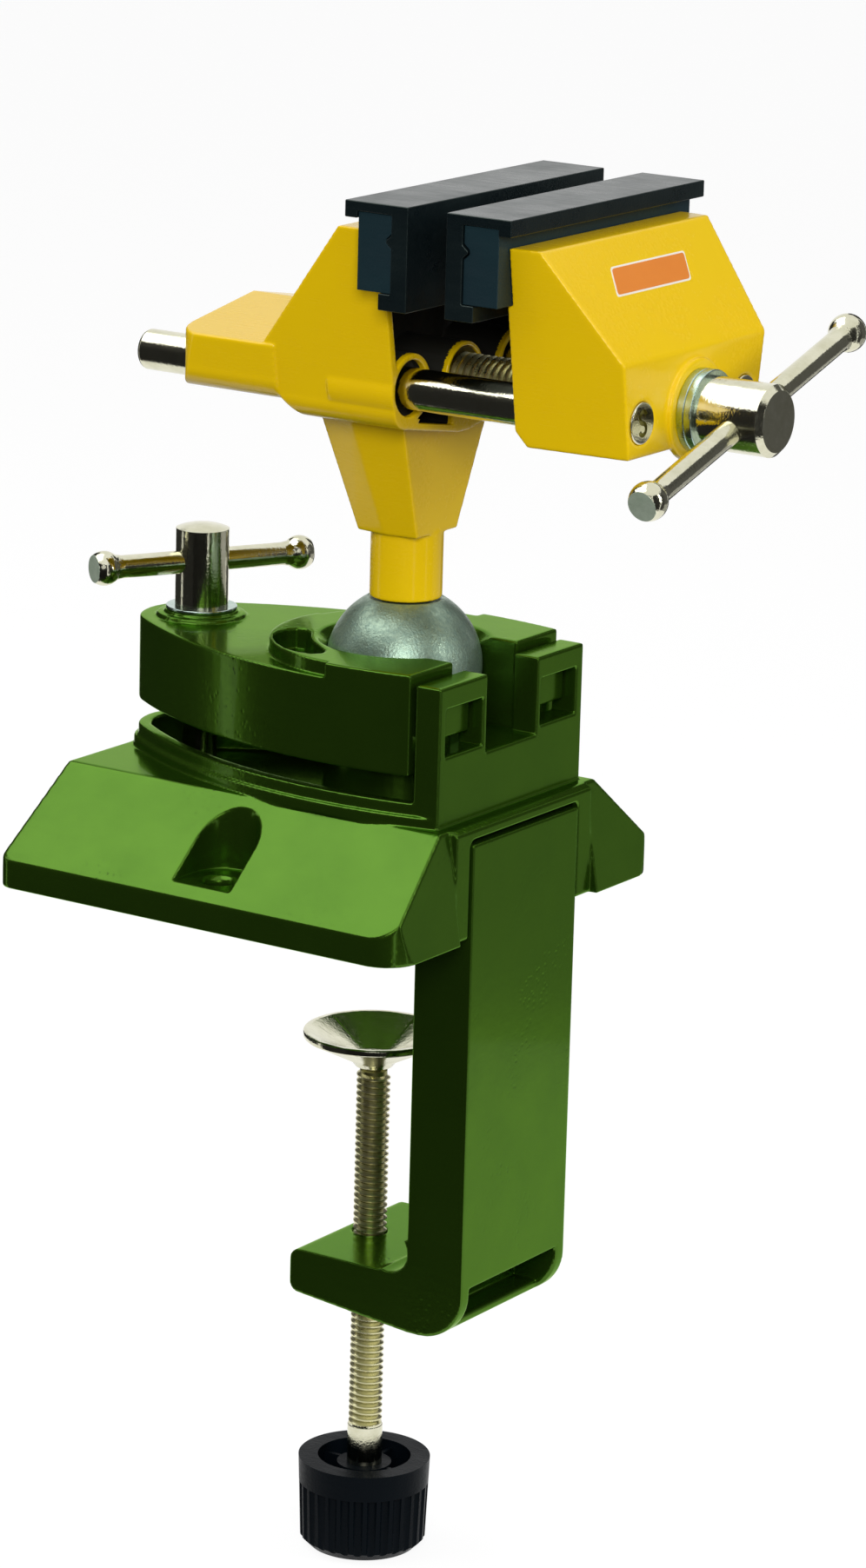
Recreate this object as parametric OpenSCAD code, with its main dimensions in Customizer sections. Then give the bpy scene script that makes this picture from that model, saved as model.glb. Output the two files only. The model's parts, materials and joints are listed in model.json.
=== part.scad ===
// Clamp-on table vise with a ball joint: a hollow base casting on a bracket with a table clamp, a lever
// plate that clamps the ball, and a head whose moving jaw runs on two guide rods. Units are millimetres.
// X points to the vise handle, Y along the jaws to the far side, Z up. The origin is on the ball's upright
// axis, in the plane of the table. All pieces are drawn where they sit in the photograph.

/* [Base casting] */
// Reach of the skirt behind the ball axis
base_back = 72; // [60:1:90]
// Reach of the skirt's foot in front of the ball axis
base_front = 35; // [33:0.5:45]
// Set back of the front slope at the plateau
base_front_lean = 4; // [2:0.5:8]
// Set back of the rear end at the plateau
base_back_lean = 3.5; // [0:0.5:8]
// Width of the skirt along Y
base_w = 104.6; // [95:0.2:130]
// Height of the upright rim at the skirt's foot
skirt_rim_h = 6.4; // [4:0.2:9]
// Height of the plateau above the table
plateau_z = 25; // [22:0.5:30]
// Width of the plateau along Y
plateau_w = 61.5; // [60:0.5:74]
// Plan radius of the skirt's front corners
skirt_corner_r = 8; // [4:0.5:12]
// Plan radius of the skirt's rear corners
skirt_rear_r = 4; // [2:0.5:8]
// Wall of the hollow casting
base_wall = 4; // [3:0.5:5]
// Thickness of the ribs under the plateau
base_rib = 3; // [2:0.5:4]

/* [Boat shaped rim] */
// Radius of the two side arcs
boat_r = 110; // [100:1:130]
// Half width of the boat at the ball axis
boat_half = 31; // [29:0.5:34]
// Distance from the ball axis back to the clamp screw
clamp_x = 55; // [50:1:62]
// Top of the rim
boat_rim_z = 30; // [28:0.5:32]
// Wall of the rim
boat_wall = 3; // [2.5:0.5:4]
// Step of the ledge round the rim's foot
boat_ledge = 1; // [0.5:0.25:2]
// Height of the ledge above the plateau
boat_ledge_h = 2.3; // [1.5:0.1:3.5]
// Floor inside the rim, below the plateau
boat_floor_drop = 4; // [2:0.5:6]

/* [Lug block] */
// Front face of the block
block_front = 28.6; // [27:0.2:30]
// Thickness of the lugs along X
lug_t = 6.4; // [5:0.2:8]
// Half width over both lugs
lug_half = 28.4; // [27:0.2:30]
// Half width of the notch that the neck tilts into
notch_half = 9.8; // [9:0.2:12]
// Top of the lugs
lug_z = 56; // [52:0.5:60]
// Floor of the notch, and top of the ball cup
notch_z = 38.8; // [37:0.2:41]
// Sides of the lug windows nearest the notch
window_in = 11.6; // [11:0.2:14]
// Sides of the lug windows farthest from the notch
window_out = 25.6; // [22:0.2:27]
// Sill of the lug windows
window_sill_z = 40.6; // [40:0.2:43]
// Head of the lug windows, which holds the plate's tabs down
window_head_z = 51; // [48:0.2:53]

/* [Bracket seat] */
// Front face of the frame round the bracket
frame_front = 33; // [32:0.5:36]
// Half width of the frame
frame_half = 27; // [25:0.5:30]
// Top of the frame's opening
frame_open_z = 22; // [20:0.5:24]
// Corner radius of the frame's opening
frame_open_r = 1.5; // [0.5:0.25:1.5]
// Clearance between the bracket and its seat
seat_clear = 0.3; // [0.2:0.1:0.6]

/* [Ball joint] */
// Diameter of the ball
ball_d = 34.4; // [30:0.2:38]
// Height of the ball's centre above the table
ball_z = 52.2; // [50:0.2:56]
// Radial clearance of the ball in its cup and in the plate
ball_clear = 0.08; // [0.05:0.01:0.1]
// Diameter of the neck under the fixed jaw
neck_d = 16; // [14:0.5:18]
// Diameter of the spigot inside the ball
spigot_d = 10; // [8:0.5:12]
// Diameter of the screw that holds the ball
ball_screw_d = 6; // [5:0.5:8]
// Diameter of the ball screw's head
ball_screw_head_d = 10; // [8:0.5:11]
// Height of the ball screw's head
ball_screw_head_h = 4; // [3:0.5:5]
// Outer radius of the cup's boss
cup_boss_r = 18; // [16:0.5:20]
// Radius of the cup's boss at its top
cup_top_r = 15.5; // [14:0.5:17]
// Radius of the foot under the cup, which stands on the table
cup_foot_r = 8; // [6:0.5:10]
// Outer radius of the seat ring under the ball
seat_ring_r = 12.5; // [11:0.5:13]
// Inner radius of the seat ring
seat_ring_in_r = 6.5; // [5:0.5:8]
// Height of the seat ring
seat_ring_h = 4.6; // [4:0.1:5]

/* [Clamping plate] */
// Underside of the plate
plate_z0 = 35.7; // [33:0.1:38]
// Top of the plate at the clamp screw
plate_z1 = 54.8; // [52:0.2:57]
// Top of the raised part round the ball
plate_z2 = 58; // [56:0.2:60]
// Radius of the raised disc round the ball
raised_r = 28.5; // [26:0.5:31]
// Front ends of the plate's two arms
plate_front = 21.2; // [20:0.2:22]
// Half width of the slot between the arms
arm_slot_half = 12.4; // [11:0.2:14]
// Wall of the hollow plate
plate_wall = 3.6; // [3:0.2:5]
// Thickness of the plate's top
plate_top_t = 5; // [4:0.5:7]
// Radius of the flare at the ball hole's rim
flare_r = 19.4; // [18:0.2:21]
// Depth of the flare
flare_h = 2; // [1:0.2:3]
// Clearance of the tabs in the windows
tab_clear = 0.4; // [0.3:0.1:0.8]
// Height of the tabs
tab_h = 7.2; // [6:0.2:9]
// Set back of the tab ends from the lugs' face
tab_recess = 3; // [1:0.5:4]
// Diameter of the boss under the clamp washer
clamp_boss_d = 20; // [18:0.5:24]
// Height of that boss above the plate
clamp_boss_h = 3.3; // [2:0.1:5]

/* [Ball clamp screw] */
// Diameter of the screw's head
clamp_head_d = 12; // [11:0.5:14]
// Top of the screw's head
clamp_head_z = 76; // [72:0.5:80]
// Height of the dome on the head
clamp_dome_h = 1.2; // [0.6:0.2:2]
// Diameter of the shank
clamp_shank_d = 8; // [7:0.5:9]
// Lower end of the shank
clamp_shank_z = 11; // [9:0.5:14]
// Diameter of the washer
clamp_washer_d = 16; // [15:0.5:18]
// Thickness of the washer
clamp_washer_t = 1.5; // [1:0.1:2]
// Width across the flats of the nut in the base
clamp_nut_af = 13; // [12:0.5:15]
// Height of the nut
clamp_nut_h = 6.5; // [5:0.5:8]
// Height of the handle bar's axis
clamp_bar_z = 67.3; // [65:0.1:70]
// Diameter of the handle bar
clamp_bar_d = 5.2; // [4.5:0.1:6]
// Distance between the centres of the bar's ends
clamp_bar_span = 48; // [42:1:60]
// Diameter of the bar's ball ends
clamp_knob_d = 7.8; // [7:0.1:9]
// Angle of the bar from X, seen from above
clamp_bar_angle = 61; // [0:1:180]

/* [Jaws] */
// Length of the steel jaw inserts, the jaw width
insert_w = 75; // [60:1:100]
// Length of the soft covers
cover_w = 76; // [61:1:102]
// Half width of the jaw castings at their top
jaw_half = 33.7; // [28:0.1:46]
// Inward lean of the castings' sides, per unit of height
jaw_side_lean_share = 0.155; // [0:0.005:0.2]
// Inward lean of the moving jaw's sides, per unit of length
jaw_length_lean_share = 0.07; // [0:0.01:0.1]
// Top of the jaw castings
jaw_top_z = 153.2; // [145:0.2:165]
// Thickness of the steel inserts
insert_t = 8.5; // [6:0.1:10]
// Height of the steel inserts
insert_h = 16.5; // [14:0.1:20]
// Underside of the steel inserts
insert_z0 = 141; // [135:0.2:148]
// Depth of the V groove along the inserts
insert_groove = 1.4; // [0.8:0.1:2]
// Height of the V groove above the inserts' underside
insert_groove_z = 11; // [8:0.2:13]
// Gap between the soft covers in the photograph
jaw_gap = 9.6; // [0:0.1:60]
// Back face of the fixed insert
fixed_insert_x = 10.9; // [10:0.1:12]

/* [Soft covers] */
// Thickness of the cover in front of the insert
cover_front_t = 4.2; // [3:0.1:5]
// Thickness of the cover over the insert
cover_top_t = 2.2; // [1.5:0.1:3]
// Reach of the lip over the casting
cover_lip = 3.2; // [2:0.1:4]
// Drop of the lip behind the insert
cover_lip_drop = 1.5; // [1:0.1:2.5]
// Depth of the cover below the insert
cover_foot_h = 3.6; // [2.5:0.1:5]
// Reach of the foot back under the insert
cover_foot_back = 3; // [2:0.1:5]
// Play between cover and insert
cover_play = 0.1; // [0.05:0.05:0.2]

/* [Fixed jaw casting] */
// Front face under the insert
fixed_front = 14; // [13:0.2:16]
// Back edge of the flat top
fixed_top_back = 3; // [0:0.5:6]
// Foot of the sloping back, where it meets the rod housing
fixed_slope_x = -19.5; // [-24:0.5:-15]
// Rear end of the rod housing
housing_back = -42.6; // [-50:0.2:-38]
// Eaves of the housing's roof
housing_eave_z = 124.8; // [123:0.2:128]
// Ridge of the housing's roof
housing_ridge_z = 129.8; // [127:0.2:133]
// Plan radius of the housing's rear corners
housing_corner_r = 7; // [3:0.5:9]
// Radius of the lower edges of the housing and the casting
fixed_edge_r = 5; // [2:0.5:7]
// Underside of the housing
housing_z0 = 112.4; // [110:0.2:113]
// Underside of the housing below the lead screw
housing_keel_z0 = 110.4; // [108:0.1:111]
// Underside of the casting at its sides
fixed_side_z0 = 109.2; // [108:0.2:112]
// Underside of the casting at its keel
fixed_keel_z0 = 105.8; // [104:0.2:107]
// Half width of the keel
keel_half = 2; // [1:0.5:12]
// Depth of the hollow in the front face
fixed_hollow = 16; // [10:0.5:17]
// Side wall of that hollow
fixed_front_wall = 2.2; // [2:0.1:3.5]
// Inner side of the two pockets in its floor
sump_in_y = 4.4; // [3:0.1:6]
// Outer side of those pockets, at their floor
sump_out_y = 17.6; // [12:0.1:18]
// Lean of their outer side
sump_lean = 1.8; // [0:0.1:3]
// Thickness of the floor under them
sump_floor_t = 1.6; // [1.5:0.1:2.4]
// Wall of the jaw castings
jaw_wall = 3.5; // [2.5:0.1:5]

/* [Stem] */
// Lower end of the stem, where the neck begins
stem_z0 = 82.3; // [78:0.1:86]
// Half size of the stem's lower end
stem_half = 7.8; // [7:0.1:9]
// Half size of the parting ridge at the lower end
stem_ridge = 8.8; // [8:0.1:10]
// Half width of the stem under the keel
stem_top_half = 17; // [14:0.5:20]
// Rear face of the stem under the keel
stem_top_back = -13; // [-17:0.5:-10]
// Front face of the stem under the keel
stem_top_front = 9.6; // [8:0.2:12]

/* [Moving jaw casting] */
// Set back of the casting's rear face from its insert
moving_rear_step = 1.2; // [0.5:0.1:3]
// Length of the flat top
moving_top_l = 7.3; // [5:0.1:12]
// Distance from the insert to the front face
moving_front_l = 25.5; // [22:0.1:30]
// Foot of the slanted face
moving_slope_z = 131; // [126:0.2:138]
// Underside of the casting
moving_z0 = 110.6; // [108:0.2:113]
// Chamfer along the rear lower edge
moving_chamfer = 3; // [1:0.2:5]
// Thickness of the front wall
moving_front_t = 7; // [5:0.5:10]
// Thickness of the floor under the rods
moving_floor_t = 2; // [1.5:0.1:2.4]
// Height of the round seat in front of it
spindle_seat_h = 1; // [0.5:0.1:2]
// Diameter of the round seat
spindle_seat_d = 22; // [20:0.5:24]

/* [Guide rods] */
// Diameter of the rods
rod_d = 9; // [8:0.1:12]
// Distance of each rod's axis from the jaw's side at the top
rod_edge = 13.2; // [12:0.1:15]
// Height of the rods and of the lead screw
drive_z = 118; // [115:0.1:122]
// Rear ends of the rods
rod_back = -55.8; // [-66:0.2:-50]
// Radial clearance of the rods in their bores
rod_clear = 0.05; // [0.02:0.01:0.1]
// Outer diameter of the rod bosses
rod_boss_d = 15; // [13:0.1:17]
// Diameter of the countersink at the bore mouths
rod_mouth_d = 12.2; // [10:0.1:12.4]
// Depth of that countersink
rod_mouth_h = 3; // [1:0.1:4]

/* [Lead screw] */
// Major diameter of the screw
lead_d = 10; // [8:0.5:12]
// Rear end of the screw
lead_back = -46.5; // [-56:0.5:-40]
// Diameter of the screw's head
lead_head_d = 15.5; // [14:0.5:18]
// Length of the head
lead_head_l = 16; // [14:0.5:20]
// Chamfer of the head's end
lead_head_chamfer = 1.2; // [0.5:0.1:2]
// Outer diameter of the zinc washers
spindle_washer_d = 18; // [17:0.5:21]
// Thickness of each washer
spindle_washer_t = 1.8; // [1:0.1:2.5]
// Radial clearance of the screw in the washers and the casting
lead_clear = 0.1; // [0.05:0.01:0.1]
// Outer diameter of the lead screw's nut
lead_nut_d = 12.6; // [12.5:0.1:14]
// Wall of the nut's boss
nut_boss_wall = 1.1; // [1:0.1:2]
// Length of that nut
lead_nut_l = 16; // [12:0.5:20]
// Outer diameter of the retaining ring
clip_d = 12.4; // [11:0.1:12.6]
// Thickness of the retaining ring
clip_t = 1.5; // [1:0.1:2]
// Diameter of the screw under the ring
clip_groove_d = 8; // [7:0.1:9]
// Diameter of the handle bar
spindle_bar_d = 5.2; // [4.5:0.1:6]
// Distance between the centres of the bar's ends
spindle_bar_span = 82.4; // [70:0.2:100]
// Diameter of the bar's ends
spindle_knob_d = 8.4; // [7.5:0.1:9.5]
// Angle of the bar, its far end above its near end
spindle_bar_angle = 17; // [0:1:180]
// How far the bar is pushed through towards its far end
spindle_bar_shift = 1.1; // [-28:0.1:28]
// Radial clearance of both handle bars in their holes
bar_clear = 0.1; // [0.05:0.01:0.1]

/* [Bracket] */
// Front face of the bracket's panel
bracket_front = 33.4; // [32:0.2:36]
// Depth of the bracket's column along X
bracket_depth = 14.6; // [12:0.2:20]
// Width of the bracket along Y
bracket_w = 42; // [36:0.5:50]
// Wall of the bracket's panel and cheeks
bracket_wall = 3.5; // [3:0.1:5]
// Top of the bracket, inside its seat
bracket_top_z = 21; // [18:0.5:22]
// Lower edge of the front panel
panel_z0 = -80.7; // [-95:0.5:-70]
// Top of the foot
foot_z1 = -80; // [-95:0.5:-65]
// Underside of the foot
foot_z0 = -93; // [-110:0.5:-78]
// Rise of the underside towards the foot's tip
foot_rise = 2.8; // [0:0.2:5]
// Tip of the foot
foot_back = -12.6; // [-20:0.2:-10]
// Radius of the bracket's outer lower corner
bracket_corner_r = 11; // [6:0.5:14]
// Radius of the fillet above the foot
bracket_fillet_r = 5; // [2:0.5:8]
// Radius of the corners at the foot's tip
foot_tip_r = 2.5; // [1:0.5:4]
// Diameter of the bracket bolts
bracket_bolt_d = 6; // [5:0.5:8]
// Distance of the bracket bolts from the middle
bracket_bolt_y = 11; // [9:0.5:14]
// Height of the bracket bolts
bracket_bolt_z = 11; // [8:0.5:14]
// Diameter of the bracket bolts' heads
bracket_bolt_head_d = 10; // [8:0.5:12]
// Height of the bracket bolts' heads
bracket_bolt_head_h = 5; // [4:0.5:6]

/* [Table clamp screw] */
// Distance of the screw's axis from the ball axis, towards the back
table_screw_x = 5.3; // [4:0.1:8]
// Major diameter of the screw
table_screw_d = 7.6; // [6:0.1:10]
// Radial clearance of the screw in the foot
table_screw_clear = 0.08; // [0.05:0.01:0.1]
// Smooth collar's upper end
table_collar_z = -126.5; // [-140:0.5:-110]
// Diameter of the collar
table_collar_d = 8; // [7:0.1:9]
// Rim of the dished pad
pad_rim_z = -33; // [-60:0.5:-10]
// Diameter of the dished pad
pad_d = 32; // [26:0.5:40]
// Depth of the dish
pad_dish_h = 5.4; // [4:0.1:8]
// Thickness of the dish
pad_t = 1.4; // [1:0.1:2]
// Diameter of the pad's hub
pad_hub_d = 10.5; // [9:0.5:15]
// Diameter of the screw's tip in the hub
pad_tip_d = 5; // [4:0.5:7]

/* [Knob] */
// Diameter of the screw's stem in the knob
knob_stem_d = 6; // [4:0.5:7]
// Diameter of the knob
knob_d = 30; // [26:0.5:36]
// Top of the knob
knob_top_z = -134; // [-150:0.5:-115]
// Height of the knob
knob_h = 21; // [18:0.5:26]
// Inward lean of the knob's side
knob_lean = 0.7; // [0:0.1:1.5]
// Wall of the knob's rim
knob_wall = 4.4; // [3:0.1:6]
// Depth of the hollow in the knob's top
knob_hollow_h = 9; // [6:0.5:14]
// Diameter of the knob's hub
knob_hub_d = 12.4; // [11:0.2:15]
// Depth of the hub below the rim
knob_hub_drop = 1.6; // [1:0.2:5]
// Thickness of the knob's spokes
knob_spoke_t = 1; // [0.6:0.1:2]
// Height of the plain band above the flutes
knob_band_h = 6; // [4:0.5:8]
// Diameter of each flute
flute_d = 2.2; // [1.6:0.1:3]
// Depth of each flute
flute_depth = 0.6; // [0.3:0.1:1]
// Number of flutes
flute_count = 30; // [18:1:36]
// Chamfer round the knob's lower edge
knob_chamfer = 2; // [1:0.1:3]

/* [Table screws] */
// Distance of the wood screw holes behind the ball axis
screw_hole_x = 18.3; // [12:0.1:24]
// Distance of each hole from the middle
screw_hole_y = 42.5; // [40:0.5:46]
// Diameter of the holes
screw_hole_d = 6.5; // [5:0.5:8]
// Diameter of the pockets cut into the slopes
pocket_d = 15; // [13:0.5:18]
// Floor of the pockets
pocket_floor_z = 8.8; // [6:0.2:12]
// Inner side of the pockets
pocket_in_y = 33; // [31:0.5:36]

/* [Insert screws] */
// Diameter of the insert screws
insert_screw_d = 4; // [3:0.5:5]
// Diameter of their heads
insert_screw_head_d = 7; // [6:0.5:8]
// Height of their heads
insert_screw_head_h = 3; // [2:0.5:4]
// Length of their shanks
insert_screw_l = 9; // [6:0.5:12]
// Distance of each screw from the middle
insert_screw_y = 22; // [15:0.5:30]

/* [Hidden] */
// How far cutters run past what they cut.
over = 1;
// Overlap between the solids of one casting.
joint_lap = 0.5;
// Gap between pieces of one body that sit together.
fit_gap = 0.3;
// Facets of round forms.
$fn = 64;
small_fn = 32;
flute_fn = 12;
hex_sides = 6;
quarter_turn = 90;
full_turn = 360;

base_len = base_back + base_front;
// The tip arc of the boat shares its centre with the clamp screw and is tangent to both side arcs.
boat_offset = boat_r - boat_half;
boat_reach = sqrt(boat_offset * boat_offset + clamp_x * clamp_x);
boat_tip_r = boat_r - boat_reach;
boat_tangent_x = -clamp_x * boat_r / boat_reach;
boat_back = -clamp_x - boat_tip_r;
boat_floor_z = plateau_z - boat_floor_drop;
boat_ceiling_z = boat_floor_z - base_wall;
block_back = block_front - lug_t;
plateau_front = base_front - base_front_lean;
slope_angle = atan2(plateau_z - skirt_rim_h, (base_w - plateau_w) / 2);
cavity_w = base_w - 2 * base_wall;
cavity_plateau_w = plateau_w - base_wall;
cavity_top_z = plateau_z - base_wall;

ball_r = ball_d / 2;
ball_bore_r = ball_r + ball_clear;
seat_top_z = plate_z2 - flare_h;
seat_top_r = sqrt(ball_bore_r * ball_bore_r - (seat_top_z - ball_z) * (seat_top_z - ball_z));
flare_slope = (flare_r - seat_top_r) / flare_h;
spigot_z0 = ball_z - ball_r / 3;
ball_screw_head_z = ball_z - ball_r + ball_screw_head_h + over;
neck_foot_z = ball_z + sqrt(ball_r * ball_r - neck_d * neck_d / 4);
seat_ring_z0 = notch_z - seat_ring_h - fit_gap;

clamp_seat_z = plate_z1 + clamp_boss_h;
clamp_head_z0 = clamp_seat_z + clamp_washer_t;
clamp_nut_z = clamp_shank_z + over;
clamp_nut_boss_z = clamp_nut_z + clamp_nut_h + base_wall;

insert_mid_z = insert_z0 + insert_h / 2;
// The screws' heads lie below the groove, and the rest of the screw is in the jaw.
insert_head_x = insert_t - insert_groove - insert_screw_head_h - fit_gap;
insert_screw_in = insert_screw_l - insert_head_x + fit_gap;
rod_y = jaw_half - rod_edge;
bridge_half = arm_slot_half - tab_clear;
insert_z1 = insert_z0 + insert_h;
fixed_face_x = fixed_insert_x + insert_t;
fixed_cover_x = fixed_face_x + cover_front_t;
moving_cover_x = fixed_cover_x + jaw_gap;
moving_face_x = moving_cover_x + cover_front_t;
moving_insert_x = moving_face_x + insert_t;
moving_rear = moving_insert_x - moving_rear_step;
moving_front = moving_insert_x + moving_front_l;
jaw_lean_angle = atan(jaw_side_lean_share);
jaw_turn_angle = atan(jaw_length_lean_share);
jaw_h = jaw_top_z - moving_z0;
fixed_low_half = jaw_half - jaw_side_lean_share * (jaw_top_z - fixed_side_z0);
hollow_low_z = fixed_side_z0 + jaw_wall / 2;
hollow_top_z = insert_z0 - jaw_wall / 2;
// Rise of the underside from the keel to the round lower edges, for each mm of width.
keel_slope = (fixed_side_z0 - fixed_keel_z0) / (fixed_low_half - fixed_edge_r - keel_half);

rod_front = moving_front + spindle_seat_h / 4;
spindle_seat_x = moving_front + spindle_seat_h;
washer_one_x = spindle_seat_x;
washer_two_x = washer_one_x + spindle_washer_t;
lead_head_x = washer_two_x + spindle_washer_t;
lead_end_x = lead_head_x + lead_head_l;
spindle_bar_x = lead_head_x + lead_head_l * 0.53;
clip_x = moving_front - moving_front_t - clip_t - fit_gap / 2;

bracket_back = bracket_front - bracket_depth;
bracket_half = bracket_w / 2;
tip_z0 = foot_z0 + foot_rise;
seat_half = bracket_half + seat_clear;
seat_back = bracket_back - seat_clear;
bolt_head_x = seat_back - base_wall - bracket_bolt_head_h;
bolt_end_x = bracket_front - bracket_wall - over;
pad_hub_z = pad_rim_z - pad_dish_h;
pad_foot_z = pad_hub_z - 2 * pad_t;
table_screw_top_z = pad_foot_z - fit_gap;
knob_z0 = knob_top_z - knob_h;
knob_low_r = knob_d / 2 - knob_lean;

// Shared forms.

// The boat seen from above: a lens of two arcs with a tangent tip round the clamp screw, grown by g.
module boat_plan(g, front) {
    intersection() {
        translate([0, -boat_offset]) circle(r = boat_r + g);
        translate([0, boat_offset]) circle(r = boat_r + g);
        translate([boat_tangent_x, -boat_r]) square([front - boat_tangent_x, 2 * boat_r]);
    }
    translate([-clamp_x, 0]) circle(r = boat_tip_r + g);
}

// A prism along Y of a side profile drawn in X and Z, between two values of Y.
module along_y(y0, y1) {
    translate([0, y1, 0]) rotate([quarter_turn, 0, 0]) linear_extrude(y1 - y0) children();
}

// A prism along X of a cross section drawn in Y and Z, between two values of X.
module along_x(x0, x1) {
    translate([x0, 0, 0]) rotate([quarter_turn, 0, quarter_turn]) linear_extrude(x1 - x0) children();
}

// A rod along X, from x0 to x1.
module rod_x(x0, x1, d, y, z) {
    translate([x0, y, z]) rotate([0, quarter_turn, 0]) cylinder(d = d, h = x1 - x0);
}

// A rounded rectangle from x0, y0 to x1, y1.
module round_rect(x0, y0, x1, y1, r) {
    translate([x0 + r, y0]) square([x1 - x0 - 2 * r, y1 - y0]);
    translate([x0, y0 + r]) square([x1 - x0, y1 - y0 - 2 * r]);
    for (x = [x0 + r, x1 - r], y = [y0 + r, y1 - r]) translate([x, y]) circle(r = r, $fn = small_fn);
}

// A handle bar along X, centred, with ball ends that are faced flat.
module handle_bar(span, d, end_d) {
    face = span / 2 + end_d * 0.31;
    collar = d * 1.16;
    translate([-span / 2, 0, 0]) rotate([0, quarter_turn, 0]) cylinder(d = d, h = span, $fn = small_fn);
    for (side = [-1, 1]) {
        intersection() {
            translate([side * span / 2, 0, 0]) sphere(d = end_d, $fn = small_fn);
            translate([-face, -end_d, -end_d]) cube([2 * face, 2 * end_d, 2 * end_d]);
        }
        translate([side * (span / 2 - end_d * 0.56), 0, 0]) rotate([0, side * quarter_turn, 0])
            cylinder(d1 = d, d2 = collar, h = end_d * 0.3, $fn = small_fn);
    }
}

// Base.

// The skirt as a trapezoid along X with leaning ends and round corners in plan.
module skirt(w, top_w, back, front, back_lean, front_lean, rim_h, top_z, rear_r, front_r) {
    intersection() {
        along_x(-back, front) polygon([
            [-w / 2, 0], [w / 2, 0], [w / 2, rim_h], [top_w / 2, top_z], [-top_w / 2, top_z], [-w / 2,
                rim_h]
        ]);
        along_y(-w / 2, w / 2) polygon([[-back, 0], [front, 0], [front - front_lean, top_z],
            [back_lean - back, top_z]]);
        linear_extrude(top_z) union() {
            round_rect(-back, -w / 2, front - 2 * front_r, w / 2, rear_r);
            round_rect(-back + 2 * rear_r, -w / 2, front, w / 2, front_r);
        }
    }
}

module skirt_outer() {
    skirt(base_w, plateau_w, base_back, base_front, base_back_lean, base_front_lean, skirt_rim_h, plateau_z,
        skirt_rear_r, skirt_corner_r);
}

// The hollow under the skirt. It leaves the boat's floor, which lies lower than the plateau.
module skirt_hollow() {
    difference() {
        translate([0, 0, -over]) skirt(cavity_w, cavity_plateau_w, base_back - base_wall,
            seat_back - base_wall,
            base_back_lean, 0, skirt_rim_h + over, cavity_top_z + over, skirt_rear_r / 2,
                skirt_corner_r / 2);
        translate([0, 0, boat_ceiling_z]) linear_extrude(plateau_z) boat_plan(boat_ledge, block_front);
    }
}

// Screw pockets: upright half round cuts into both slopes, with a hole through the floor.
module pocket_cut(side) {
    deep = base_w / 2 - pocket_in_y;
    translate([-screw_hole_x, side * (pocket_in_y + pocket_d / 2), pocket_floor_z]) {
        cylinder(d = pocket_d, h = plateau_z);
        translate([-pocket_d / 2, side > 0 ? 0 : -deep, 0]) cube([pocket_d, deep, plateau_z]);
    }
    translate([-screw_hole_x, side * screw_hole_y, -over]) cylinder(d = screw_hole_d, h = plateau_z);
    translate([-screw_hole_x, side * screw_hole_y, pocket_floor_z - (pocket_d - screw_hole_d) / 8])
        cylinder(d1 = screw_hole_d, d2 = screw_hole_d + (pocket_d - screw_hole_d) / 4,
            h = (pocket_d - screw_hole_d) / 8);
}

// The walls under each pocket, standing on the table.
module pocket_body(side) {
    deep = base_w / 2 - base_wall / 2 - pocket_in_y;
    translate([-screw_hole_x, side * (pocket_in_y + pocket_d / 2), 0]) {
        cylinder(d = pocket_d + 2 * base_rib, h = plateau_z);
        translate([-pocket_d / 2 - base_rib, side > 0 ? 0 : -deep, 0])
            cube([pocket_d + 2 * base_rib, deep, plateau_z]);
    }
}

// Ribs under the plateau, from the back to the bracket's seat and across under the cup and the nut.
module base_ribs() {
    rib_z0 = skirt_rim_h;
    intersection() {
        union() {
            for (y = [-boat_tip_r, boat_tip_r]) translate([-base_back, y - base_rib / 2, rib_z0])
                cube([base_len, base_rib, plateau_z - rib_z0]);
            for (x = [-clamp_x, -clamp_x / 2 - base_rib, 0]) translate([x - base_rib / 2, -base_w / 2,
                rib_z0])
                cube([base_rib, base_w, plateau_z - rib_z0]);
        }
        skirt_outer();
    }
}

// The cup boss, its top flush with the notch floor, and the bridge from it to the block.
module cup_body() {
    translate([0, 0, boat_floor_z - joint_lap]) cylinder(r1 = cup_boss_r, r2 = cup_top_r,
        h = notch_z - boat_floor_z + joint_lap);
    cylinder(r = cup_foot_r, h = boat_floor_z);
    translate([0, -bridge_half, plateau_z - joint_lap])
        cube([block_front - joint_lap, 2 * bridge_half, notch_z - plateau_z + joint_lap]);
}

// The block with two lugs. Each lug has a window that takes a tab of the plate.
module lug_block() {
    difference() {
        translate([block_back, -lug_half, plateau_z - joint_lap]) cube([lug_t, 2 * lug_half,
            lug_z - plateau_z + joint_lap]);
        translate([block_back - over, -notch_half, notch_z]) cube([lug_t + 2 * over, 2 * notch_half,
            lug_z]);
        for (side = [-1, 1]) translate([block_back - over, side > 0 ? window_in : -window_out,
            window_sill_z])
            cube([lug_t + 2 * over, window_out - window_in, window_head_z - window_sill_z]);
    }
}

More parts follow.
